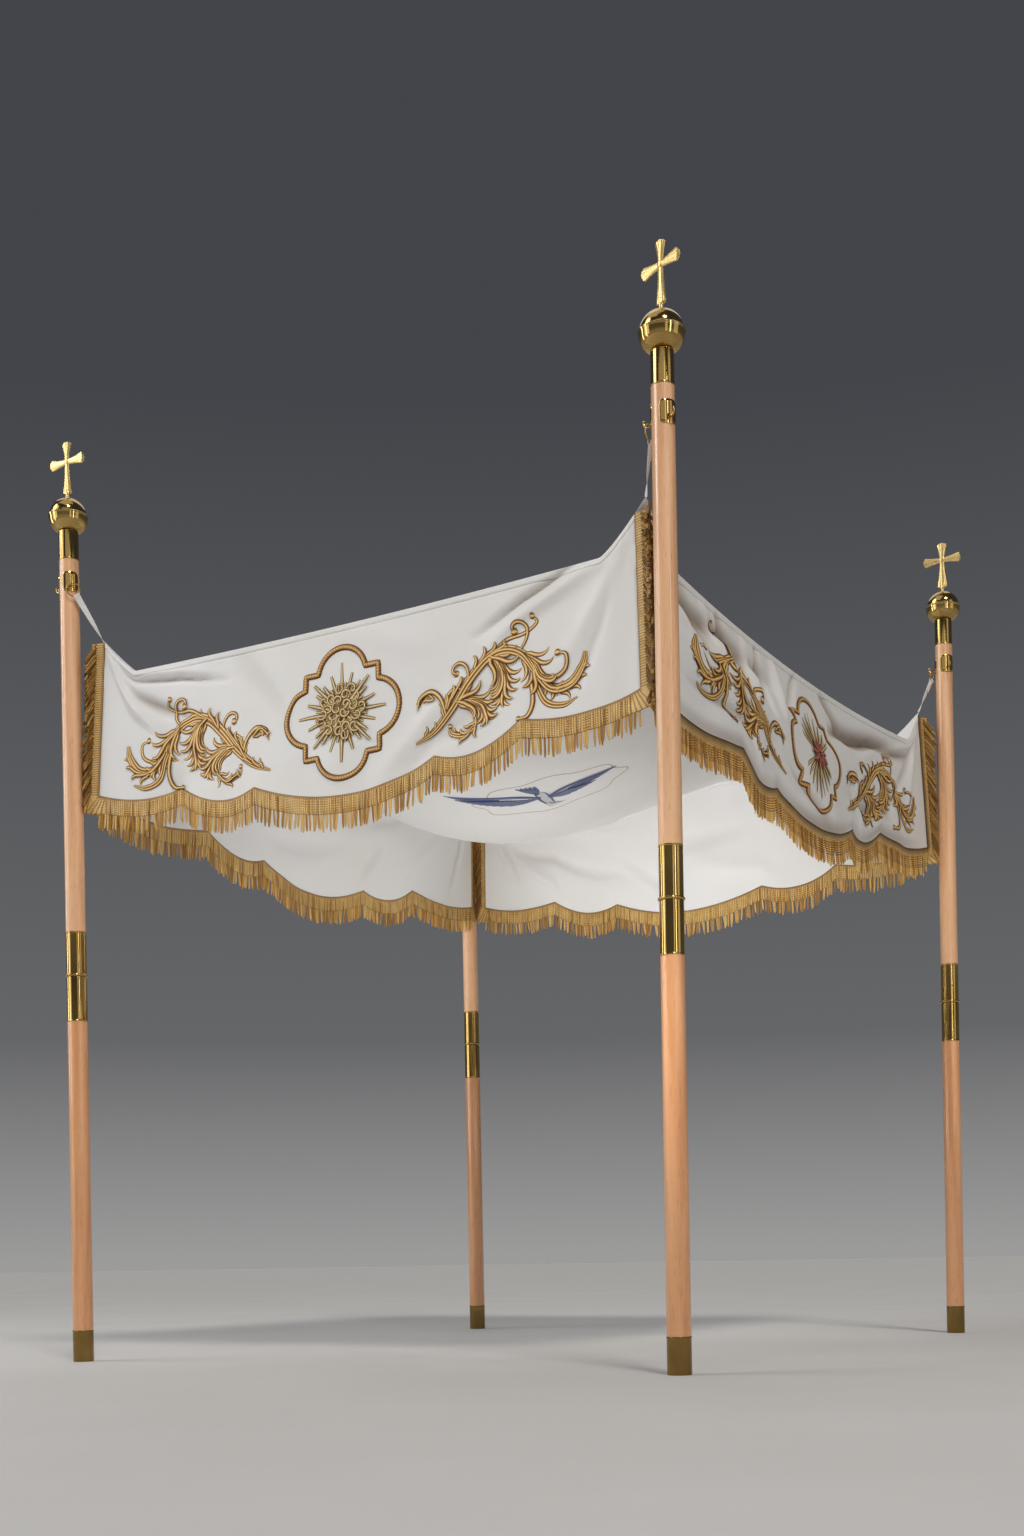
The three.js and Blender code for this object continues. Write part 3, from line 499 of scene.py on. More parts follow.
def sleeve_profile(low, high, rim_low=False, rim_high=False):
    """A brass tube's outside, with a rolled rim where it meets the wood."""
    r, lip, lip_height, shoulder = SLEEVE_RADIUS, 0.7 * MM, 2.2 * MM, 1.2 * MM

    def rim(at, up):
        return [(r + lip, at), (r + lip, at + up * lip_height), (r, at + up * (lip_height + shoulder))]
    start = rim(low, 1) if rim_low else [(r, low)]
    finish = rim(high, -1)[::-1] if rim_high else [(r, high)]
    return rounded([(0, low), *start, *finish, (0, high)], 0.9 * MM)


def coupling_profile():
    """The upper half of the coupling, with a bead above the joint."""
    r, bead, half_height = SLEEVE_RADIUS, 3 * MM, 3.4 * MM
    middle = COUPLING_MIDDLE + half_height + 0.3 * MM
    ring = polar(np.linspace(-math.pi / 2, math.pi / 2, 9)) * (bead, half_height) + (r, middle)
    above = sleeve_profile(COUPLING_MIDDLE, COUPLING_TOP, rim_high=True)[1 + EASE_POINTS:]
    return np.array([(0, COUPLING_MIDDLE), (r, COUPLING_MIDDLE), *ring, *above])


def ball_profile():
    """A bowl that flares to a lip, and a dome that sits in it."""
    low, lip = COLLAR_TOP + GAP, BALL_MIDDLE
    bowl = [(22.5, 0), (32, 3), (41, 11), (46.8, 22)]
    bowl = [(r * MM, low + z * MM) for r, z in bowl] + [(0.05, lip - 2 * MM)]
    lip_edge = [(50.7, -1), (50.8, 0.6), (50, 1.6), (47.6, 1.2)]
    lip_edge = [(r * MM, lip + z * MM) for r, z in lip_edge]
    dome_radius, neck = 0.047, 0.0075
    turn = np.linspace(0, math.acos(neck / dome_radius), 18)
    dome = polar(turn) * (dome_radius, DOME_TOP - lip) + (0, lip + 1 * MM)
    return [(0, low), *smooth_path(bowl, 22), *lip_edge, *dome, (0, dome[-1][1])]


def cross_body():
    """A cast cross: ridged arms that flare to their ends, a small boss and a turned foot."""
    s, t = np.meshgrid(np.linspace(0, 1, 18), np.linspace(-1, 1, 25), indexing="ij")
    waist, flare = 6.6 * MM, 7.6 * MM
    x = (waist + flare * s**1.7) * t
    end_curve = (5 * t**2 + 1.2 * np.cos(3 * math.pi * t) ** 2) * MM
    groove = 0.5 * s**2 * np.cos(4 * math.pi * t) * (1 - t**4)
    height = (1.6 + 3.4 * (1 - t**2) ** 0.8 * (0.7 + 0.3 * s) + groove) * MM
    parts = []
    lengths = [CROSS_TOP - CROSS_BAR, CROSS_HALF_SPAN, CROSS_BAR - CROSS_FOOT, CROSS_HALF_SPAN]
    for quarter, length in enumerate(lengths):
        c, n = polar(quarter * math.pi / 2)
        z = s * (length - end_curve)
        skins = [np.stack([x * c + z * n, y, CROSS_BAR + z * c - x * n], -1) for y in (-height, height)]
        parts.append(slab(*skins))
    boss = np.array([(0, -6), (7, -5), (8, 0), (7, 5), (0, 6)]) * MM
    verts, faces = turned(rounded(boss, 2 * MM), 24)
    parts.append((verts[:, [0, 2, 1]] * (1, -1, 1) + (0, 0, CROSS_BAR), faces))
    neck = [(0, -1), (8.5, -0.5), (8, 1.5), (4.2, 3), (6.3, 6), (4.5, 9)]
    neck = [(r * MM, DOME_TOP + z * MM) for r, z in neck]
    neck += [(6 * MM, CROSS_FOOT + 2 * MM), (0, CROSS_FOOT + 3 * MM)]
    parts.append(turned(rounded(neck, 1.5 * MM), 28))
    return join(parts)


def hook_bearings(corner):
    """The bearings of a pole's inner and outer hook from +X."""
    outward = 0.0 if CORNERS[corner][0] > 0 else math.pi
    inner_turn, outer_turn, _, _ = TURNS[corner]
    return outward + math.pi + inner_turn, outward + outer_turn


def turned_about_pole(points, bearing):
    c, s = polar(bearing)
    return np.asarray(points) @ np.array([[c, s, 0], [-s, c, 0], [0, 0, 1]])


def hook_body():
    """A curved plate with rounded corners, hugging the pole on its +X side, and its upturned hook."""
    u, v = np.meshgrid(np.linspace(-1, 1, 25), np.linspace(-1, 1, 17), indexing="ij")
    round_off = np.clip((np.abs(u) - 0.45) / 0.55, 0, 1)
    half_height = PLATE_HEIGHT / 2 * (1 - 0.45 * (1 - np.sqrt(1 - round_off**2)))
    z = PLATE_BOTTOM + PLATE_HEIGHT / 2 + v * half_height
    edge = np.maximum(np.abs(u), np.abs(v))
    outer = POLE_RADIUS + GAP + 1.9 * MM * (1 - 0.55 * np.clip((edge - 0.86) / 0.14, 0, 1) ** 2)
    inner = np.full_like(u, POLE_RADIUS + 0.1 * MM)
    x, y = np.moveaxis(polar(u * PLATE_HALF_ANGLE), -1, 0)
    plate = slab(*[np.stack([r * x, r * y, z], -1) for r in (outer, inner)])
    route = [(POLE_RADIUS + GAP + 1 * MM, 0), (RING_FROM_POLE, 0), (HOOK_REACH - 3 * MM, 2 * MM),
             (HOOK_REACH, 8 * MM), (HOOK_REACH, HOOK_RISE)]
    path = smooth_path([(out, 0, HOOK_HEIGHT + up) for out, up in route], 26)
    radius = HOOK_WIRE * np.array([1.0] * 24 + [0.85, 0.5])
    wire = capped(rings_about(path, radius, circle(14), (0.0, 1.0, 0.0)), path[[0, -1]])
    return join([plate, wire])


def ring_place(corner):
    """The ring's middle and the way it is pulled, beside an upright pole at the origin."""
    bearing, tilt = hook_bearings(corner)[0], TURNS[corner][2]
    inwards = -CORNERS[corner][1] * np.sign(math.cos(bearing))
    pull = turned_about_pole([0, inwards * math.sin(tilt), -math.cos(tilt)], bearing)
    hang = RING_RADIUS - RING_WIRE - HOOK_WIRE - GAP
    return turned_about_pole([RING_FROM_POLE, 0, HOOK_HEIGHT], bearing) + pull * hang, pull


def ring_body(corner):
    """A plain round ring, in the plane across its hook."""
    around, sides = 48, 14
    a, b = np.meshgrid(circle(around), circle(sides), indexing="ij")
    r = RING_RADIUS + RING_WIRE * np.cos(b)
    verts = np.stack([RING_WIRE * np.sin(b), r * np.cos(a), r * np.sin(a)], -1).reshape(-1, 3)
    verts = turned_about_pole(verts, hook_bearings(corner)[0]) + ring_place(corner)[0]
    index = np.arange(around * sides).reshape(around, sides)
    right = np.roll(index, -1, 1)
    return verts, np.stack([index, right, np.roll(right, -1, 0), np.roll(index, -1, 0)], -1).reshape(-1, 4)


def strap_body(corner):
    """A folded tape that loops round the ring and narrows, half twisted, to the corner of the cloth."""
    sx, sy = CORNERS[corner]
    middle, pull = ring_place(corner)
    eye = lean([middle + pull * RING_RADIUS], corner)[0]
    tip = np.array([sx * CORNER_X, sy * CORNER_Y, CORNER_HEIGHT])
    length = np.linalg.norm(tip - eye)
    way = (tip - eye) / length
    wire = np.cross(turned_about_pole([1.0, 0, 0], hook_bearings(corner)[0]), pull)
    across = unit_rows(wire - way * wire.dot(way))
    face = np.cross(across, way)
    loop, ply = 3.4 * MM, 1.1 * MM
    turn = np.linspace(-0.6 * math.pi, 0.6 * math.pi, 13)
    route = [(length * t, -ply * (1 - t), 1 - t) for t in np.linspace(1, 0.08, 20)]
    route += [(-loop * math.cos(a), loop * math.sin(a), 1.0) for a in turn]
    route += [(length * t, ply, 1 - t) for t in np.linspace(0.08, 0.36, 8)]
    run, lift, spread = np.array(route).T[..., None]
    half_width = (3.4 + 4.8 * np.clip(spread, 0, 1) ** 0.7) * MM
    twist = 1.25 * np.clip((0.5 - spread) / 0.5, 0, 1) ** 1.5
    side = across * np.cos(twist) + face * np.sin(twist)
    normal = (face * np.cos(twist) - across * np.sin(twist))[:, None]
    columns = np.linspace(-1, 1, 7)[None, :, None]
    base = (eye + run * way + lift * face)[:, None] + columns * (half_width * side)[:, None]
    crown, half_thick = (1 - columns**2) * 0.5 * MM * normal, 0.5 * MM * normal
    return slab(base + crown + half_thick, base + crown - half_thick)


def build_pole(corner):
    """A pole's pieces and its strap, which is returned."""
    cross, hook_plate = cross_body(), hook_body()

    def at(bearing, body):
        return turned_about_pole(body[0], bearing), body[1]
    inner_bearing, outer_bearing = hook_bearings(corner)
    bodies = [
        # The ferrule is in the brass painted darker, as a painted dark reflection.
        ("ferrule", REFLECTION_DIMMED_BRASS, turned(sleeve_profile(0, FERRULE_TOP, rim_high=True))),
        ("lower_pole", WARM_BEECH, turned(rod_profile(FERRULE_TOP, COUPLING_BOTTOM))),
        ("lower_coupling", BRASS, turned(sleeve_profile(COUPLING_BOTTOM, COUPLING_MIDDLE - GAP, True))),
        ("upper_coupling", BRASS, turned(coupling_profile())),
        ("upper_pole", PALE_BEECH, turned(rod_profile(COUPLING_TOP, COLLAR_BOTTOM))),
        ("collar", BRASS, turned(sleeve_profile(COLLAR_BOTTOM, COLLAR_TOP, rim_low=True))),
        ("ball", BRASS, turned(ball_profile(), 64)),
        ("cross", GILT, at(TURNS[corner][3], cross)),
        ("inner_hook", BRASS, at(inner_bearing, hook_plate)),
        ("outer_hook", BRASS, at(outer_bearing, hook_plate)),
        ("ring", BRASS, ring_body(corner)),
    ]
    for part, material, (verts, faces) in bodies:
        piece = sharpen(add_mesh(f"visual_{part}_{corner}", material, lean(verts, corner), faces))
        place(piece, "wood" if part.endswith("pole") else "brass", f"{part}_{corner}")
    strap = add_mesh(f"visual_strap_{corner}", CLOTH_WHITE, *strap_body(corner))
    return place(sharpen(strap, 60), "cloth", f"strap_{corner}")


straps = [build_pole(corner) for corner in CORNERS]


# Cloth surfaces. A hollow of this depth is in full shade, and the top edge is stitched this far down.
HOLLOW_DEPTH, STITCH_DEPTH = 19 * MM, 14.5 * MM
# The drop that a crease's shares are taken of, and the angle over which a sheet's edges stay crisp.
CREASE_DROP, SHEET_EDGE = 0.36, 70


def corner_rise(distance):
    share = np.clip(1 - distance / CORNER_REACH, 0, None)
    return (CORNER_HEIGHT - SEAM_HEIGHT) * share**CORNER_POWER


def cloth_span(valance):
    return -valance["half"] + valance["insets"][0], valance["half"] - valance["insets"][1]


def hem_drop(valance, share):
    """The hem's drop under the seam: peaks with a scallop between each and the next."""
    start, end = cloth_span(valance)
    peaks = [((run + valance["slip"] - start) / (end - start), drop + valance["sink"], depth)
             for run, drop, depth in HEM_PEAKS]
    rows = [(0.0, HEM_END_DROP, HEM_END_SCALLOP), *peaks, (1.0, HEM_END_DROP, 0.0)]
    drop = np.zeros_like(share)
    for (low, drop_low, depth), (high, drop_high, _) in zip(rows[:-1], rows[1:]):
        k = (share - low) / (high - low)
        inside = (k >= -1e-9) & (k <= 1 + 1e-9)
        drop = np.where(inside, drop_low + (drop_high - drop_low) * k + depth * 4 * k * (1 - k), drop)
    return drop


def creased(x, y, size, creases, fade):
    """Soft ridges and troughs along short lines; x, y and the lines' ends are shares of the size."""
    relief = np.zeros(np.broadcast(x, y).shape)
    for x0, y0, x1, y1, half_width, depth in creases:
        px, py = (x - x0) * size[0], (y - y0) * size[1]
        bx, by = (x1 - x0) * size[0], (y1 - y0) * size[1]
        along = np.clip((px * bx + py * by) / (bx**2 + by**2), 0, 1)
        away = np.hypot(px - along * bx, py - along * by)
        relief += depth * MM * fade(along) * np.exp(-((away / (half_width * MM)) ** 2))
    return relief


def valance_relief(valance, share, down):
    """A valance's finer creases, which start more firmly than they end."""
    def fade(along):
        return np.sin(np.pi * np.clip(0.08 + 0.92 * along, 0, 1)) ** 0.8
    return creased(share, down, (2 * valance["half"], CREASE_DROP), valance["creases"], fade)


def valance_points(valance, share, down):
    """Points of a valance's mid-surface at a share of its width and a share of its drop."""
    share, down = np.broadcast_arrays(np.asarray(share, float), np.asarray(down, float))
    half = valance["half"]
    start, end = cloth_span(valance)
    run = start + (end - start) * share
    spot = run / half
    folds = sum(depth * MM * np.exp(-(((spot - at) / width) ** 2)) for at, width, depth in valance["folds"])
    folds = folds * np.clip(down, 0, None) ** 1.4 * (1 - spot**6)
    swing = HEM_SWING * down * np.abs(spot) ** 6
    along = run + np.sign(spot) * swing
    top = SEAM_HEIGHT + corner_rise(half - np.abs(run)) - valance["seam_sag"] * (1 - spot**2)
    under = (top - SEAM_HEIGHT + hem_drop(valance, share)) * down
    quiet = np.clip(np.minimum(share, 1 - share) / 0.02, 0, 1) * np.clip(down / 0.06, 0, 1)
    ripple = np.sin(run * 29 + down * 2.1) * np.sin(run * 7 + down * 4.0)
    ripple = ripple + 0.5 * np.sin(run * 47 - down * 3.2)
    fine = (valance_relief(valance, share, down) + 1.6 * MM * ripple * down) * quiet
    folded_edge = 1.1 * MM / (1 + np.exp((under - 12.5 * MM) / (0.7 * MM)))
    stitched = 1.0 * MM * np.exp(-(((under - STITCH_DEPTH) / (1.4 * MM)) ** 2))
    out = valance["reach"] + GAP + 1 * MM - EDGE_BOW * (1 - spot**2) + folds + swing
    out = out + fine + folded_edge - stitched
    (ax, ay), (ox, oy) = valance["along"], valance["out"]
    return np.stack([ax * along + ox * out, ay * along + oy * out, top - under], -1)


def surface_normal(points_at, u, v, step=1e-3):
    """Outward unit normals of a surface given as a function of two coordinates."""
    du = points_at(u + step, v) - points_at(u - step, v)
    dv = points_at(u, v + step) - points_at(u, v - step)
    return unit_rows(np.cross(dv, du))


def valance_skin(valance, share, down):
    """Points of a valance's mid-surface and the normals there."""
    normal = surface_normal(lambda a, b: valance_points(valance, a, b), share, down)
    return valance_points(valance, share, down), normal


def area_of(points):
    """The area of a grid of points."""
    across, along = np.diff(points, axis=1)[:-1], np.diff(points, axis=0)[:, :-1]
    return float(np.linalg.norm(np.cross(across, along), axis=-1).sum())


def build_valance(name, valance):
    """A thin sheet, with more rows by its top seam where the folded edge is stitched down."""
    columns, seam_rows, rows, seam = 221, 12, 47, 0.055
    down = np.concatenate([np.linspace(0, seam, seam_rows), np.linspace(seam, 1, rows)[1:]])
    s, d = np.meshgrid(np.linspace(0, 1, columns), down, indexing="ij")
    middle, normal = valance_skin(valance, s, d)
    hollow, inside_share = -valance_relief(valance, s, d).ravel() / HOLLOW_DEPTH, 0.45
    shade = np.clip(np.concatenate([hollow, -inside_share * hollow]), 0, 1)
    uv = np.stack([np.tile(s.ravel(), 2), shade], -1)
    skins = slab(middle + normal * CLOTH / 2, middle - normal * CLOTH / 2)
    piece = sharpen(add_mesh(f"visual_valance_{name}", CLOTH_WHITE, *skins, uv), SHEET_EDGE)
    return place(piece, "cloth", f"valance_{name}"), area_of(middle)


# Ceiling creases run from one (p, q) to another, with a half width and a height in millimetres.
CEILING_CREASES = [
    (-0.97, -0.97, -0.45, -0.5, 26, 9), (-0.97, -0.93, -0.3, -0.72, 22, -7),
    (-0.93, -0.97, -0.7, -0.35, 22, -7), (0.97, -0.97, 0.4, -0.5, 26, 10),
    (0.94, -0.97, 0.25, -0.75, 22, -8), (0.97, -0.93, 0.72, -0.3, 22, -7),
    (0.97, 0.97, 0.45, 0.5, 26, 9), (0.93, 0.97, 0.3, 0.74, 22, -7), (-0.97, 0.97, -0.45, 0.45, 26, 9),
    (-0.5, -0.35, 0.05, -0.5, 40, 5), (0.15, -0.45, 0.6, -0.1, 34, -5), (-0.2, 0.3, 0.4, 0.25, 45, 5),
]


def ceiling_points(p, q):
    """Points of the ceiling, where p and q run from -1 to 1 between the corners."""
    def bowl(spot, shift):
        moved = spot - shift * (1 - spot**2)
        return np.clip(1 - moved**2, 0, None) ** BELLY_POWER
    corner = np.hypot((1 - np.abs(p)) * CORNER_X, (1 - np.abs(q)) * CORNER_Y)
    height = SEAM_HEIGHT - BELLY * bowl(p, BELLY_SHIFT_X) * bowl(q, BELLY_SHIFT_Y) + corner_rise(corner)
    for valance in VALANCES.values():
        (ax, ay), (ox, oy) = valance["along"], valance["out"]
        towards = np.clip(p * ox + q * oy, 0, None)
        height = height - valance["seam_sag"] * (1 - (p * ax + q * ay) ** 2) * towards**EDGE_SAG_POWER
    inner = np.clip((1 - np.maximum(np.abs(p), np.abs(q))) / 0.05, 0, 1)
    size = (CORNER_X, CORNER_Y)
    height = height + inner * creased(p, q, size, CEILING_CREASES, lambda along: np.sin(np.pi * along))
    x, y = p * (CORNER_X - EDGE_BOW * (1 - q**2)), q * (CORNER_Y - EDGE_BOW * (1 - p**2))
    return np.stack([x, y, height], -1)


def build_ceiling():
    """A thin sheet, finer towards its edges, which reach out to the valances."""
    count, bunching, rim = 121, 0.4, 0.985
    spread = np.sin(np.linspace(-1, 1, count) * bunching * math.pi) / math.sin(bunching * math.pi)
    p, q = np.meshgrid(spread, spread, indexing="ij")
    middle = ceiling_points(p, q)
    reach = 1.2 * MM * np.clip((np.maximum(np.abs(p), np.abs(q)) - rim) / (1 - rim), 0, 1)
    middle[..., 0] += reach * np.where(np.abs(p) >= np.abs(q), np.sign(p), 0)
    middle[..., 1] += reach * np.where(np.abs(q) >= np.abs(p), np.sign(q), 0)
    skins = slab(middle + DOWN * CLOTH / 2, middle - DOWN * CLOTH / 2)
    piece = sharpen(add_mesh("visual_ceiling", CLOTH_WHITE, *skins), SHEET_EDGE)
    return place(piece, "cloth", "ceiling"), area_of(middle)


# Fringe: the turn of its ends out of the cloth, and its cords.
END_TURN = 0.3
CORD_PITCH, CORD_RADIUS, END_CORD_RADIUS, CLUMP_PULL = 8.2 * MM, 2.8 * MM, 3.3 * MM, 0.12


def edge_frames(valance, share, down, end):
    """Places on a free edge, and the way a fringe leaves it: down at the hem, or sideways at an end."""
    along, out = np.array([*valance["along"], 0.0]), np.array([*valance["out"], 0.0])
    points = valance_points(valance, share, down) + out * 1 * MM
    if end == "hem":
        way = unit_rows(DOWN - out * valance["tuck"])
    else:
        way = out * math.sin(END_TURN) + along * math.cos(END_TURN) * (1 if end == "end" else -1)
    return points, way, along, out


def heading_band(valance):
    """The flat woven heading along both ends and the hem, with a rounded section."""
    sections = []
    for end, count, depth in (("start", 46, END_NET), ("hem", 220, HEM_NET), ("end", 46, END_NET)):
        t = np.linspace(0, 1, count)
        share, down = {"start": (0 * t, t), "hem": (t, 1 + 0 * t), "end": (1 + 0 * t, 1 - t)}[end]
        points, way, along, out = edge_frames(valance, share, down, end)
        ways = np.repeat(way[None], count, 0)
        if end == "hem":
            near_start = np.clip(1 - np.arange(count) / 4, 0, 1)[:, None]
            outwards = out * math.sin(END_TURN)
            ways = ways + near_start * (outwards - along) + near_start[::-1] * (outwards + along)
        sections.append((points, ways, np.repeat(out[None], count, 0), np.full((count, 1), depth)))
    points, ways, outs, depth = (np.concatenate(column) for column in zip(*sections))
    across, thick = polar(circle(12)).T
    reach = (1 + np.sign(across) * np.abs(across) ** 0.6) / 2
    thick = 1.9 * MM * np.sign(thick) * np.abs(thick) ** 0.6
    width = GAP + depth * reach
    verts = points[:, None] + width[..., None] * ways[:, None] + thick[None, :, None] * outs[:, None]
    uv = np.stack(np.broadcast_arrays(run_along(points)[:, None], reach), -1)
    return verts.reshape(-1, 3), grid_faces(len(points), len(reach), wrap=True), uv.reshape(-1, 2)


def strand_tubes(paths, radius, sides=5):
    """Round cords along many paths at once: u counts the cords and runs round each, v runs along it."""
    count, steps = paths.shape[:2]
    columns = sides + 1
    verts = rings_about(paths, radius, np.arange(columns) / sides * 2 * math.pi, (0.31, 0.95, 0.05))
    around = np.arange(count)[:, None, None] + np.linspace(0, 0.999, columns)
    uv = np.stack(np.broadcast_arrays(around, run_along(paths)[:, :, None]), -1)
    faces = grid_faces(steps, columns) + (np.arange(count) * steps * columns)[:, None, None]
    return verts.reshape(-1, 3), faces.reshape(-1, 4), uv.reshape(-1, 2)


def strand_paths(roots, ways, lengths, sway, droop):
    """Cords that leave their roots along ways, drift sideways by sway and turn downwards by droop."""
    count, steps = len(roots), 8
    t = np.linspace(0, 1, steps)[None, :, None]
    course = (ways[:, None] * (1 - droop * t) + DOWN * droop * t) * lengths[:, None, None] / (steps - 1)
    path = np.cumsum(course, axis=1) - course
    curl = np.sin(t * rng.uniform(2, 5, (count, 1, 1)) + rng.uniform(0, 6, (count, 1, 1)))
    return roots[:, None] + path + sway[:, None] * t**1.4 + curl * rng.normal(0, 1.2 * MM, (count, 1, 3)) * t


def clump_drift(count):
    """Sideways drift that gathers neighbouring cords into loose clumps, with slits between them."""
    clump = np.repeat(np.arange(count), rng.integers(3, 11, count))[:count]
    spot = np.arange(count) * CORD_PITCH
    middle = np.bincount(clump, spot) / np.maximum(np.bincount(clump), 1)
    return (middle[clump] - spot) * CLUMP_PULL


def fringe_strands(valance):
    """Bullion cords: close along the hem in loose clumps, and two deep over the ends."""
    width = 2 * valance["half"]
    count = int(width / CORD_PITCH)
    share = (np.arange(count) + 0.5 + rng.uniform(-0.2, 0.2, count)) / count
    points, way, along, out = edge_frames(valance, share, np.ones(count), "hem")
    first = CORDS_START + TUCKED_START * valance["tuck"]
    roots = points + way * first + out * rng.uniform(-0.8, 0.9, (count, 1)) * MM
    corner_width, corner_lean = 0.03, 6
    to_start, to_end = (np.clip(1 - away * width / corner_width, 0, 1) for away in (share, 1 - share))
    sideways_lean = corner_lean * (to_end - to_start)
    sway = along * (clump_drift(count) + (rng.normal(0, 2.4, count) + sideways_lean) * MM)[:, None]
    sway = sway + out * (rng.normal(0.6, 1.8, count) * MM)[:, None]
    lengths = FRINGE_DROP - first + rng.normal(-3, 3, count).clip(-11, 1.5) * MM
    groups = [(roots, np.repeat(DOWN[None], count, 0), lengths, sway, 0.0)]
    end_drop, end_pitch, layer_gap, droop = 0.4, 9 * MM, 2.4 * MM, 0.45
    count = int(end_drop / end_pitch)
    for end, at, layer in (("start", 0.0, 0), ("start", 0.0, 1), ("end", 1.0, 0), ("end", 1.0, 1)):
        down = (np.arange(count) + 0.5 * layer + rng.uniform(0, 0.4, count)) / count
        points, way, along, out = edge_frames(valance, np.full(count, at), down, end)
        across = np.cross(way, -DOWN)
        outward = (0.72 - 0.2 * down + rng.normal(0, 0.05, count))[:, None]
        ways = way * outward + DOWN * np.sqrt(1 - outward**2)
        roots = points + way * END_CORDS_START + across * ((layer - 0.5) * layer_gap)
        lengths = rng.normal(55, 3, count) * MM
        sway = across * (rng.normal(0, 1.6, count) * MM)[:, None]
        groups.append((roots, ways, lengths, sway, droop))
    meshes = []
    taper = np.array([0.9, 1, 1, 1.04, 1, 1.04, 1, 0.55])
    for group in groups:
        paths = strand_paths(*group)
        radius = END_CORD_RADIUS if meshes else CORD_RADIUS
        meshes.append(strand_tubes(paths, rng.normal(1, 0.08, len(paths))[:, None] * taper * radius))
    return meshes[0], join(meshes[1:])


def build_fringe(name, valance):
    """The heading, the cords along the hem and the cords at the ends."""
    braid = SHADED_BRAID if valance["tuck"] else BRAID
    hem_cords, end_cords = fringe_strands(valance)
    return [
        place(add_mesh(f"visual_heading_{name}", braid, *heading_band(valance)), "fringe"),
        place(add_mesh(f"visual_strands_{name}", BULLION, *hem_cords), "fringe", f"fringe_{name}"),
        # The end cords use the bullion painted darker, as painted shade.
        place(add_mesh(f"visual_end_strands_{name}", SHADED_END_BULLION, *end_cords), "fringe"),
    ]


# Embroidery. A design is a list of strokes in millimetres about its middle, x along the cloth and y up.
# A stroke is (points, widths): a smooth line whose width runs through the given values.

def sideways(line):
    """Unit normals of a flat line, on its left."""
    tangent = np.gradient(line, axis=0)
    tangent /= np.linalg.norm(tangent, axis=1, keepdims=True) + 1e-9
    return np.stack([-tangent[:, 1], tangent[:, 0]], -1)


def spread_out(values, count):
    """A few values, drawn out evenly over a longer run."""
    return np.interp(np.linspace(0, 1, count), np.linspace(0, 1, len(values)), values)


def stem(points, widths, cords=3):
    """A stalk of cords side by side, which taper together."""
    line = smooth_path(points, 6 * len(points))
    width = spread_out(widths, len(line))
    shifts = (np.arange(cords) + 0.5) / cords - 0.5
    return [(line + sideways(line) * (width * shift)[:, None], width / cords * 1.15) for shift in shifts]


def peeled(line, angles, until, side, length, width, curl):
    """One strand of a leaf: it runs beside the spine, drifts off it and ends in a curl."""
    start = max(0.0, until - 0.42)
    t = np.linspace(start, until, 6)
    i = np.round(t * (len(line) - 1)).astype(int)
    drift = side * width * (0.25 + 1.05 * (1 - until)) * ((t - start) / (until - start)) ** 1.3
    beside = line[i] + polar(angles[i] + math.pi / 2) * drift[:, None]
    turn = angles[i[-1]] + side * (0.3 + curl * np.linspace(0, 1, 6) ** 1.5)
    return np.concatenate([beside, beside[-1] + np.cumsum(polar(turn) * length / 6, axis=0)])


def acanthus(spine, length, width, pairs, sides, curl=1.5):
    """A leaf of long strands that peel off its spine in turn; the longest curls are nearest the stalk."""
    line = smooth_path(spine, 40)
    tangent = np.gradient(line, axis=0)
    angles = np.unwrap(np.arctan2(tangent[:, 1], tangent[:, 0]))
    taper = width * np.array([0.35, 0.8, 0.95, 1, 1, 0.8, 0.25])
    strands = []
    for until in 0.16 + 0.8 * np.arange(pairs) / (pairs - 1):
        strands += [(until, side, length * (1.0 - 0.45 * until)) for side in sides]
    strands += [(0.98, side, length * 0.4) for side in (-0.4, 0.4)]
    lines = [peeled(line, angles, until, side, reach, width, curl) for until, side, reach in strands]
    return [(strand, taper) for strand in lines] + [(line, [width * 0.7, width * 0.9, width * 0.5])]


def bulb(at, size):
    """A round bud."""
    across = np.linspace(-1, 1, 7)
    return [(at + np.stack([across * size * 0.6, 0 * across], -1), size * 1.15 * np.sqrt(1.02 - across**2))]


def tendril(start, angle, length, turn, width):
    """A stalk that winds into a spiral and ends in a bud."""
    t = np.linspace(0, 1, 18)
    steps = polar(math.radians(angle) + turn * t**1.5) * ((1 - 0.7 * t) * length / 11)[:, None]
    line = start + np.cumsum(steps, axis=0) - steps[0]
    return [(line, [width * 0.8, width * 1.1, width, width * 0.7])] + bulb(line[-1], width * 1.7)


def hook(points, widths, bud=0.0):
    """A plain curved stalk, which may end in a bud."""
    return [(np.asarray(points, float), widths)] + (bulb(points[-1], bud) if bud else [])


# The scroll's leaves: spine, longest lobe, lobe width, lobes along each side, sides that carry them.
SCROLL_LEAVES = [
    ([(250, -18), (226, 2), (202, -14)], 26, 9, 3, (1,)),
    ([(372, -98), (338, -126), (302, -112)], 28, 9, 3, (1, -1)),
    ([(312, -34), (350, -36), (386, -56), (404, -88)], 62, 12.5, 6, (1, -1)),
    ([(596, -62), (640, -52), (668, -16)], 34, 10, 4, (-1,)),
    ([(500, 54), (536, 14), (550, -24), (588, -56)], 62, 12, 6, (1, -1)),
    ([(408, 64), (440, 34), (452, -8), (444, -52)], 70, 12.5, 7, (1, -1)),
    ([(276, -70), (300, -30), (336, 14)], 30, 10, 4, (1,)),
    ([(366, 26), (404, 62), (452, 78)], 36, 10, 4, (1,)),
    ([(212, -112), (244, -96), (276, -74)], 24, 8, 3, (1,)),
]


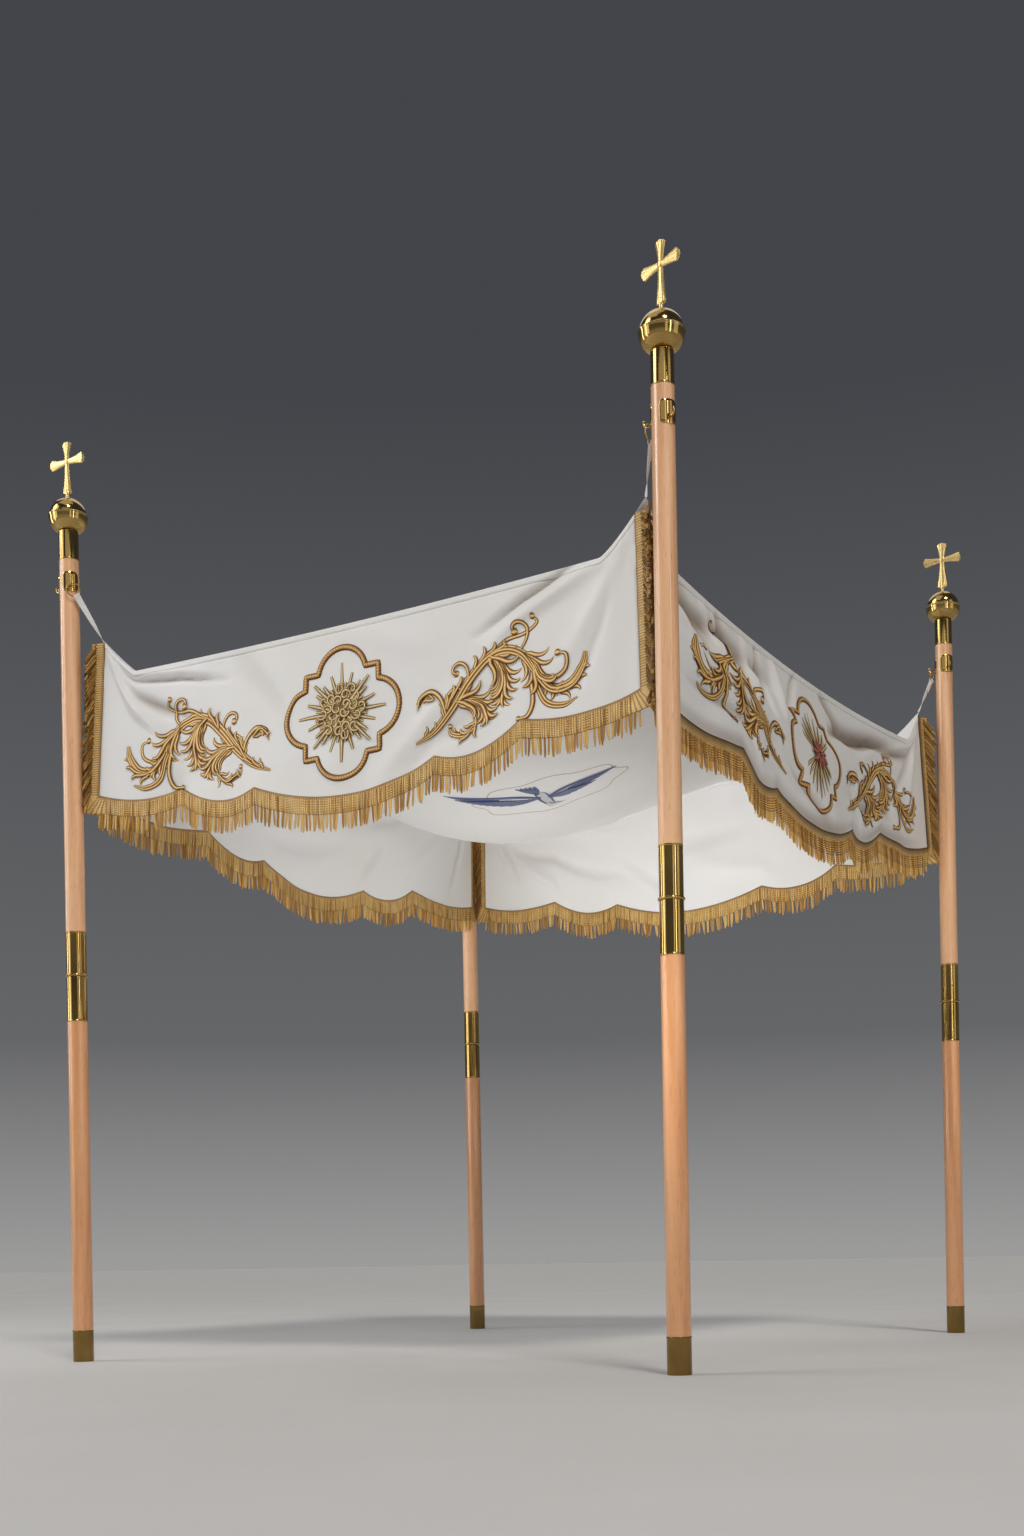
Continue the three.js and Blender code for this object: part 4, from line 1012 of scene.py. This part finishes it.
def bolder(strokes, factor):
    """The same strokes with wider lines."""
    return [(points, np.multiply(widths, factor)) for points, widths in strokes]


def scroll(side, stretch, rise):
    """A rinceau on one side of the medallion: an arching stem with leaves, tendrils and a hooked end."""
    strokes = tendril((286, -62), 104, 122, -4.5, 9)
    strokes += hook([(284, -66), (272, -22), (240, 6), (206, -6), (198, -36)], [7, 12, 14, 11, 4])
    strokes += tendril((352, 14), 84, 108, 4.7, 9)
    strokes += hook([(420, 70), (462, 94), (510, 100), (544, 120), (534, 138)], [8, 11, 10, 9, 5], 12)
    strokes += tendril((500, 62), 46, 124, 4.8, 9)
    strokes += hook([(548, -14), (590, -30), (622, -14), (626, 20), (602, 30)], [9, 12, 11, 10, 6], 14)
    strokes += stem([(540, -6), (584, -54), (634, -52), (664, -14), (672, 20)], [13, 25, 27, 21, 9])
    strokes += stem([(536, -16), (566, -84), (612, -102), (652, -90)], [11, 16, 14, 4], 2)
    strokes += hook([(528, -20), (534, -78), (520, -112), (494, -116)], [11, 13, 12, 5], 11)
    strokes += stem([(360, -62), (368, -104), (334, -124), (294, -112), (290, -92)], [8, 12, 13, 12, 6], 2)
    strokes += bulb((291, -92), 11)
    for leaf in SCROLL_LEAVES:
        strokes += acanthus(*leaf)
    arch = [(190, -120), (246, -94), (302, -46), (352, 12), (402, 58), (454, 70), (504, 48), (542, -6)]
    strokes += stem(arch, [6, 19, 24, 28, 28, 26, 22, 14])
    near_end, length = 190, 500
    placed = []
    for points, widths in strokes:
        x, y = (np.asarray(points, float) * (0.93, 0.9) + (27, -2)).T
        away = (x - near_end) * stretch
        placed.append((np.stack([side * (near_end + away), y + rise * away / length], -1), widths))
    return placed


def quatrefoil(lobe_radius=68.0, lobe_middle=91.0, square=103.0):
    """A barbed quatrefoil: four round lobes, and a square's corners between them."""
    edge = math.sqrt(lobe_radius**2 - (square - lobe_middle) ** 2)
    meet = math.atan2(edge, square - lobe_middle)
    one = [(square, y) for y in np.linspace(-square, -edge, 8)[:-1]]
    one += [*(polar(np.linspace(-meet, meet, 49)) * lobe_radius + (lobe_middle, 0))]
    one += [(square, y) for y in np.linspace(edge, square, 8)[1:-1]]
    x, y = np.array(one).T
    quarters = [polar(quarter * math.pi / 2) for quarter in range(4)]
    points = np.concatenate([np.stack([x * c - y * s, x * s + y * c], -1) for c, s in quarters])
    middle_of_lobe = 31
    return np.concatenate([points[middle_of_lobe:], points[:middle_of_lobe + 1]])


def sunburst(inner, outer, rays):
    """Slender rays of uneven lengths with blunt ends, about a plain middle."""
    shares = (1.0, 0.6, 0.8, 0.55, 0.72, 0.9, 0.72, 0.55, 0.8, 0.6)
    strokes = []
    for n, way in enumerate(polar(circle(rays) + math.pi / 2)):
        length = outer * shares[n % len(shares)]
        strokes.append((np.outer([inner, (inner + length) / 2, length], way), [14.0, 11.5, 6.5]))
    return strokes


def curls(count, reach, size):
    """Small curls set out like the seeds of a sunflower, wound one way and then the other."""
    golden_turn = 2.39996
    t = np.linspace(0, 1, 10)
    strokes = []
    for n in reversed(range(count)):
        spot = reach * math.sqrt((n + 0.5) / count) * polar(n * golden_turn)
        angle = n * 1.7 + (1 if n % 2 else -1) * 5.2 * t
        strokes.append((spot + (size * (1.05 - 0.75 * t))[:, None] * polar(angle), [5.0, 8.0, 8.0, 6.0]))
    return strokes


def rosette(petals, radius, width, swirl=0.25):
    """A ring of petals that swirl about a middle, a plain flower."""
    course = ((0.0, 0.2), (swirl, 0.62), (swirl * 0.6, 1.0))
    lines = [[polar(angle + turn) * radius * share for turn, share in course] for angle in circle(petals)]
    return [(np.array(line), [width * 0.5, width, width * 0.5]) for line in lines]


def sprays(count, length):
    """Feathery sprays: fine fronds that fan up and down from the middle."""
    strokes = []
    for spread in (np.arange(count) / (count - 1) - 0.5) * 1.9:
        for up in (-1, 1):
            way = np.array([math.sin(spread), up * math.cos(spread)])
            bend, tip = way * length * 0.5 + (spread * 10, 0), way * length * (1.0 - 0.3 * abs(spread))
            strokes.append((np.array([way * 14, bend, tip]), [6, 13, 3]))
    return strokes


# Neighbouring strokes lie on each other in thin layers, sunk a little in the cloth, and what lies over a
# whole motif is raised. A stroke has a section every few millimetres, within limits.
LAYER, LAYERS, SUNK, OVER_MOTIF = 0.42 * MM, 9, 0.15 * MM, 3.8 * MM
SECTION_STEP, FEWEST_SECTIONS, MOST_SECTIONS = 5.0, 6, 240


def embroider(name, strokes, on_cloth, material, raise_by=1.2 * MM, plump=0.12):
    """Padded satin-stitch lines on a cloth; on_cloth gives points and normals from design coordinates."""
    across, lift = np.array([-1, -0.72, 0, 0.72, 1]), np.array([0, 0.62, 1, 0.62, 0])
    parts = []
    for order, (points, widths) in enumerate(strokes):
        sections = np.clip(run_along(points)[-1] / SECTION_STEP, FEWEST_SECTIONS, MOST_SECTIONS)
        count = max(int(sections) + 1, len(points))
        line = smooth_path(points, count)
        half = spread_out(widths, count)[:, None] / 2
        flat = line[:, None] + across[:, None] * (half * sideways(line))[:, None]
        height = LAYER * (order % LAYERS) + np.minimum(raise_by, 0.3 * MM + half * plump * MM) * lift
        uv = np.stack(np.broadcast_arrays(run_along(line)[:, None] * MM, (across + 1) / 2), -1)
        verts = np.concatenate([flat * MM, height[..., None]], -1)
        parts.append((verts.reshape(-1, 3), grid_faces(count, len(across)), uv.reshape(-1, 2)))
    flat, faces, uv = join(parts)
    base, normal = on_cloth(flat[:, 0], flat[:, 1])
    verts = base + normal * (CLOTH / 2 - SUNK + flat[:, 2:])
    return place(add_mesh(name, material, verts, faces, uv), "fringe")


def cloth_of(valance, height=0.0, middle_drop=0.214):
    """Places on or above a valance: x along it from the hem's middle, y up from the design's middle."""
    start, end = cloth_span(valance)

    def on_cloth(x, y):
        share = (x + valance["slip"] - start) / (end - start)
        drop = middle_drop + valance["sink"] * 1.2 - valance["lift"] - y
        points, normal = valance_skin(valance, share, drop / hem_drop(valance, share))
        return points + normal * height, normal
    return on_cloth


def stitch_line(name, valance):
    """The stitches that hold down the folded top edge: a thin line a little under it."""
    share, width = np.linspace(0.002, 0.998, 260)[:, None], 1.8 * MM
    start, end = cloth_span(valance)
    run, half = start + (end - start) * share, valance["half"]
    top = corner_rise(half - np.abs(run)) - valance["seam_sag"] * (1 - (run / half) ** 2)
    down = (STITCH_DEPTH + np.linspace(-width / 2, width / 2, 3)) / (top + hem_drop(valance, share))
    points, normal = valance_skin(valance, share + 0 * down, down)
    verts = points + normal * (CLOTH / 2 + np.array([[0.1], [0.5], [0.1]]) * MM)
    uv = np.stack(np.broadcast_arrays(run, np.array([0.0, 0.5, 1.0])), -1)
    body = verts.reshape(-1, 3), grid_faces(*down.shape), uv.reshape(-1, 2)
    return place(add_mesh(f"stitches_{name}", LINEN_THREAD, *body), "cloth")


def embroider_valance(name, valance):
    """Scrolls on both sides of a framed medallion, which holds a sunburst or sprays with a flower."""
    on_cloth, over_motif = cloth_of(valance), cloth_of(valance, OVER_MOTIF)
    (near_stretch, near_rise), (far_stretch, far_rise) = valance["scrolls"]
    scrolls = scroll(-1, near_stretch, near_rise) + scroll(1, far_stretch, far_rise)
    pieces = [
        embroider(f"scrolls_{name}", bolder(scrolls, max(near_stretch, 1.0) ** 1.6), on_cloth, GOLD_THREAD),
        embroider(f"frame_{name}", [(quatrefoil(), [16, 16])], on_cloth, GOLD_CORD, 4 * MM, 0.55),
        stitch_line(name, valance),
    ]
    if name in ("front", "back"):
        rays = sunburst(12, 122, 40) + bulb((0, 0), 40)
        pieces.append(embroider(f"sunburst_{name}", rays, on_cloth, KHAKI_THREAD))
        pieces.append(embroider(f"curls_{name}", curls(26, 62, 15), over_motif, KHAKI_THREAD))
    else:
        pieces.append(embroider(f"sprays_{name}", sprays(9, 124), on_cloth, KHAKI_THREAD))
        pieces.append(embroider(f"flower_{name}", rosette(9, 44, 17), over_motif, RED_THREAD))
    return pieces


# The dove under the ceiling: its middle and the turn of its wings, in the ceiling's plan.
DOVE_X, DOVE_Y, DOVE_TURN = 0.092, -0.150, math.radians(29)


def under_ceiling(x, y):
    """Design coordinates to the ceiling's underside."""
    c, s = polar(DOVE_TURN)
    px, py = DOVE_X + x * c - y * s, DOVE_Y + x * s + y * c

    def at(a, b):
        return ceiling_points(a / CORNER_X, b / CORNER_Y)
    return at(px, py), surface_normal(at, px, py, 2e-3)


def wing(side, stretch):
    """A slender spread wing: a firm leading edge, and feathers that trail close behind it."""
    strokes = []
    for n in range(11):
        k = n / 10
        root = np.array([14 + 100 * k, -4 - 26 * k])
        tip = np.array([84 + 146 * k**0.85, 10 - 62 * k**1.05])
        strokes.append((np.array([root, (root + tip) / 2 + (2, 3), tip]), [7, 10, 3]))
    strokes.append((np.array([(10, -6), (60, -30), (130, -42), (224, -51)]), [9, 12, 10, 4]))
    return [(points * (side * stretch, 1), widths) for points, widths in strokes]


def dove():
    """The bird's slanting body with its head, and its small fanned tail with the body's outline."""
    body = [([(-24 + 5 * n, -34), (-8 + 5 * n, 0), (8 + 3 * n, 28)], [6, 10, 6]) for n in range(5)]
    body += [([(8, 30), (20, 42), (32, 36)], [12, 19, 12]), ([(30, 38), (42, 40), (54, 38)], [8, 6, 2])]
    tail = [([(-18, -28), (-34 + 7 * n, -50), (-54 + 12 * n, -72)], [6, 10, 5]) for n in (-2, -1, 0, 1, 2)]
    tail += [([(-28, -36), (-15, 0), (3, 32)], [3, 6, 3]), ([(0, -34), (15, 0), (24, 28)], [3, 6, 3])]
    return body, tail


def glory_outline():
    """A thin lobed line round the dove."""
    angle = np.linspace(0, 2 * math.pi, 97)
    return polar(angle) * (1 + 0.06 * np.cos(angle * 8))[:, None] * (200, 84) + (15, -12)


def embroider_ceiling():
    body, tail = dove()
    return [
        embroider("dove_wings", wing(-1, 1.18) + wing(1, 0.84), under_ceiling, BLUE_THREAD, 1.6 * MM),
        embroider("dove_tail", tail, under_ceiling, BLUE_THREAD, 1.6 * MM),
        embroider("dove_body", body, under_ceiling, SILVER_THREAD, 3 * MM),
        embroider("glory_line", [(glory_outline(), [2.6, 2.6])], under_ceiling, GOLD_THREAD, 1.2 * MM),
    ]


ceiling, ceiling_area = build_ceiling()
embroider_ceiling() + straps

for side_name, side_valance in VALANCES.items():
    sheet, sheet_area = build_valance(side_name, side_valance)
    trim = build_fringe(side_name, side_valance) + embroider_valance(side_name, side_valance)


# Floor, light and camera.

def build_floor():
    """A wide pale disc."""
    radius, sides = 40, 96
    rim = np.concatenate([radius * polar(circle(sides)), np.zeros((sides, 1))], -1)
    made = Shader("studio_floor", (0.67, 0.66, 0.645), 0.8)
    made.color(made.ramp(made.noise(1.5, 4.0), (0.3, (0.65, 0.64, 0.625)), (0.7, (0.69, 0.68, 0.665))))
    add_mesh("floor", made.material, rim, [list(range(sides))])


def build_world():
    """A soft grey studio surround, as bright as the floor at the horizon and darker overhead."""
    world = bpy.data.worlds.new("studio")
    bpy.context.scene.world = world
    world.use_nodes = True
    made = Nodes(world.node_tree)
    height = made.part(made.node("TexCoord").outputs["Generated"], "Z")
    horizon, middle, overhead = (0.33, 0.328, 0.325), (0.132, 0.134, 0.14), (0.056, 0.059, 0.068)
    surround = made.ramp(height, (0.0, horizon), (0.12, middle), (0.45, overhead))
    made.set(world.node_tree.nodes["Background"], Color=surround)


def stand(thing, location, side, up, back):
    """Put a light or camera at a place, with its own X, Y and Z directions."""
    rows = np.stack([side, up, back], -1)
    thing.matrix_world = Matrix([[*row, p] for row, p in zip(rows, location)] + [[0, 0, 0, 1]])


def add_light(name, location, target, size, power, color=WHITE, spread=180, mirrored=True, lit=True):
    """A soft panel aimed from a place to a target, or a sun whose disc has that spread if it has no size."""
    data = bpy.data.lights.new(name, "AREA" if size else "SUN")
    data.energy, data.color = power, color
    light = linked(name, data)
    if size:
        data.shape = "RECTANGLE"
        data.size, data.size_y = size
        data.spread = math.radians(spread)
        light.visible_camera = False
        light.visible_glossy = mirrored
        light.visible_diffuse = lit
    else:
        data.angle = math.radians(spread)
    back = unit_rows(np.subtract(location, target))
    side = unit_rows(np.cross(-DOWN, back))
    stand(light, location, side, np.cross(back, side), back)


def build_camera():
    """The photograph's viewpoint: low, looking a little up, with the frame shifted up."""
    location, azimuth, pitch, roll = (2.3746, -4.1486, 0.2448), math.radians(30.96), 0.10, -0.0166
    ahead = np.array([-math.sin(azimuth), math.cos(azimuth), 0])
    right = np.array([math.cos(azimuth), math.sin(azimuth), 0])
    look = ahead * math.cos(pitch) - DOWN * math.sin(pitch)
    high = -DOWN * math.cos(pitch) - ahead * math.sin(pitch)
    side = right * math.cos(roll) + high * math.sin(roll)
    high = high * math.cos(roll) - right * math.sin(roll)
    data = bpy.data.cameras.new("camera")
    data.lens, data.sensor_width, data.shift_y = 41.63, 36.0, 0.2005
    bpy.context.scene.camera = linked("camera", data)
    stand(bpy.context.scene.camera, location, side, high, -look)


build_floor()
build_world()
WARM = (1, 0.97, 0.92)
add_light("sun_front", (-3.8, -2.6, 3.6), (0, 0, 0), None, 0.5, spread=25)
add_light("sun_side", (2.0, -1.9, 3.0), (0, 0, 0), None, 1.15, (1, 0.945, 0.88), spread=12)
add_light("sun_rear", (-2.0, 3.0, 5.0), (0, 0, 0), None, 0.45, spread=50)
add_light("key", (-4.2, -5.0, 3.9), (0, 0, 1.6), (3.4, 5.2), 71, (0.97, 0.985, 1))
add_light("low", (1.0, -6.4, 0.75), (0, 0.4, 1.5), (6.0, 1.3), 28, (1, 0.97, 0.93), mirrored=False)
add_light("strip_left", (-4.4, -2.0, 2.5), (0, 0, 1.5), (0.4, 2.8), 26)
add_light("strip_right", (4.4, -2.4, 2.6), (0, 0, 1.6), (0.24, 3.0), 18, (1, 0.94, 0.88))
add_light("beam_back", (0.3, -2.6, 0.1), (0, 0.93, 1.45), (1.3, 0.2), 2.5, spread=28, mirrored=False)
add_light("beam_left", (2.3, 0.1, 0.1), (-0.78, 0, 1.45), (1.4, 0.2), 1.2, spread=28, mirrored=False)
add_light("glint_left", (-4.7, -5.2, 3.0), (0, 0, 1.8), (0.4, 6.0), 38, lit=False)
add_light("card_right", (6.5, -0.2, 3.4), (0, 0, 1.8), (2.4, 4.5), 22, WARM, lit=False)
add_light("card_front", (5.3, -4.9, 3.2), (0, 0, 1.8), (1.1, 5.0), 15, WARM, lit=False)
add_light("card_high", (2.8, -6.2, 5.0), (0, 0, 2.1), (7.0, 2.2), 24, WARM, lit=False)
add_light("card_top", (-0.6, -1.6, 6.5), (0, 0, 2.0), (3.6, 3.6), 26, WARM, lit=False)
bpy.context.scene.view_settings.view_transform = "Standard"
build_camera()
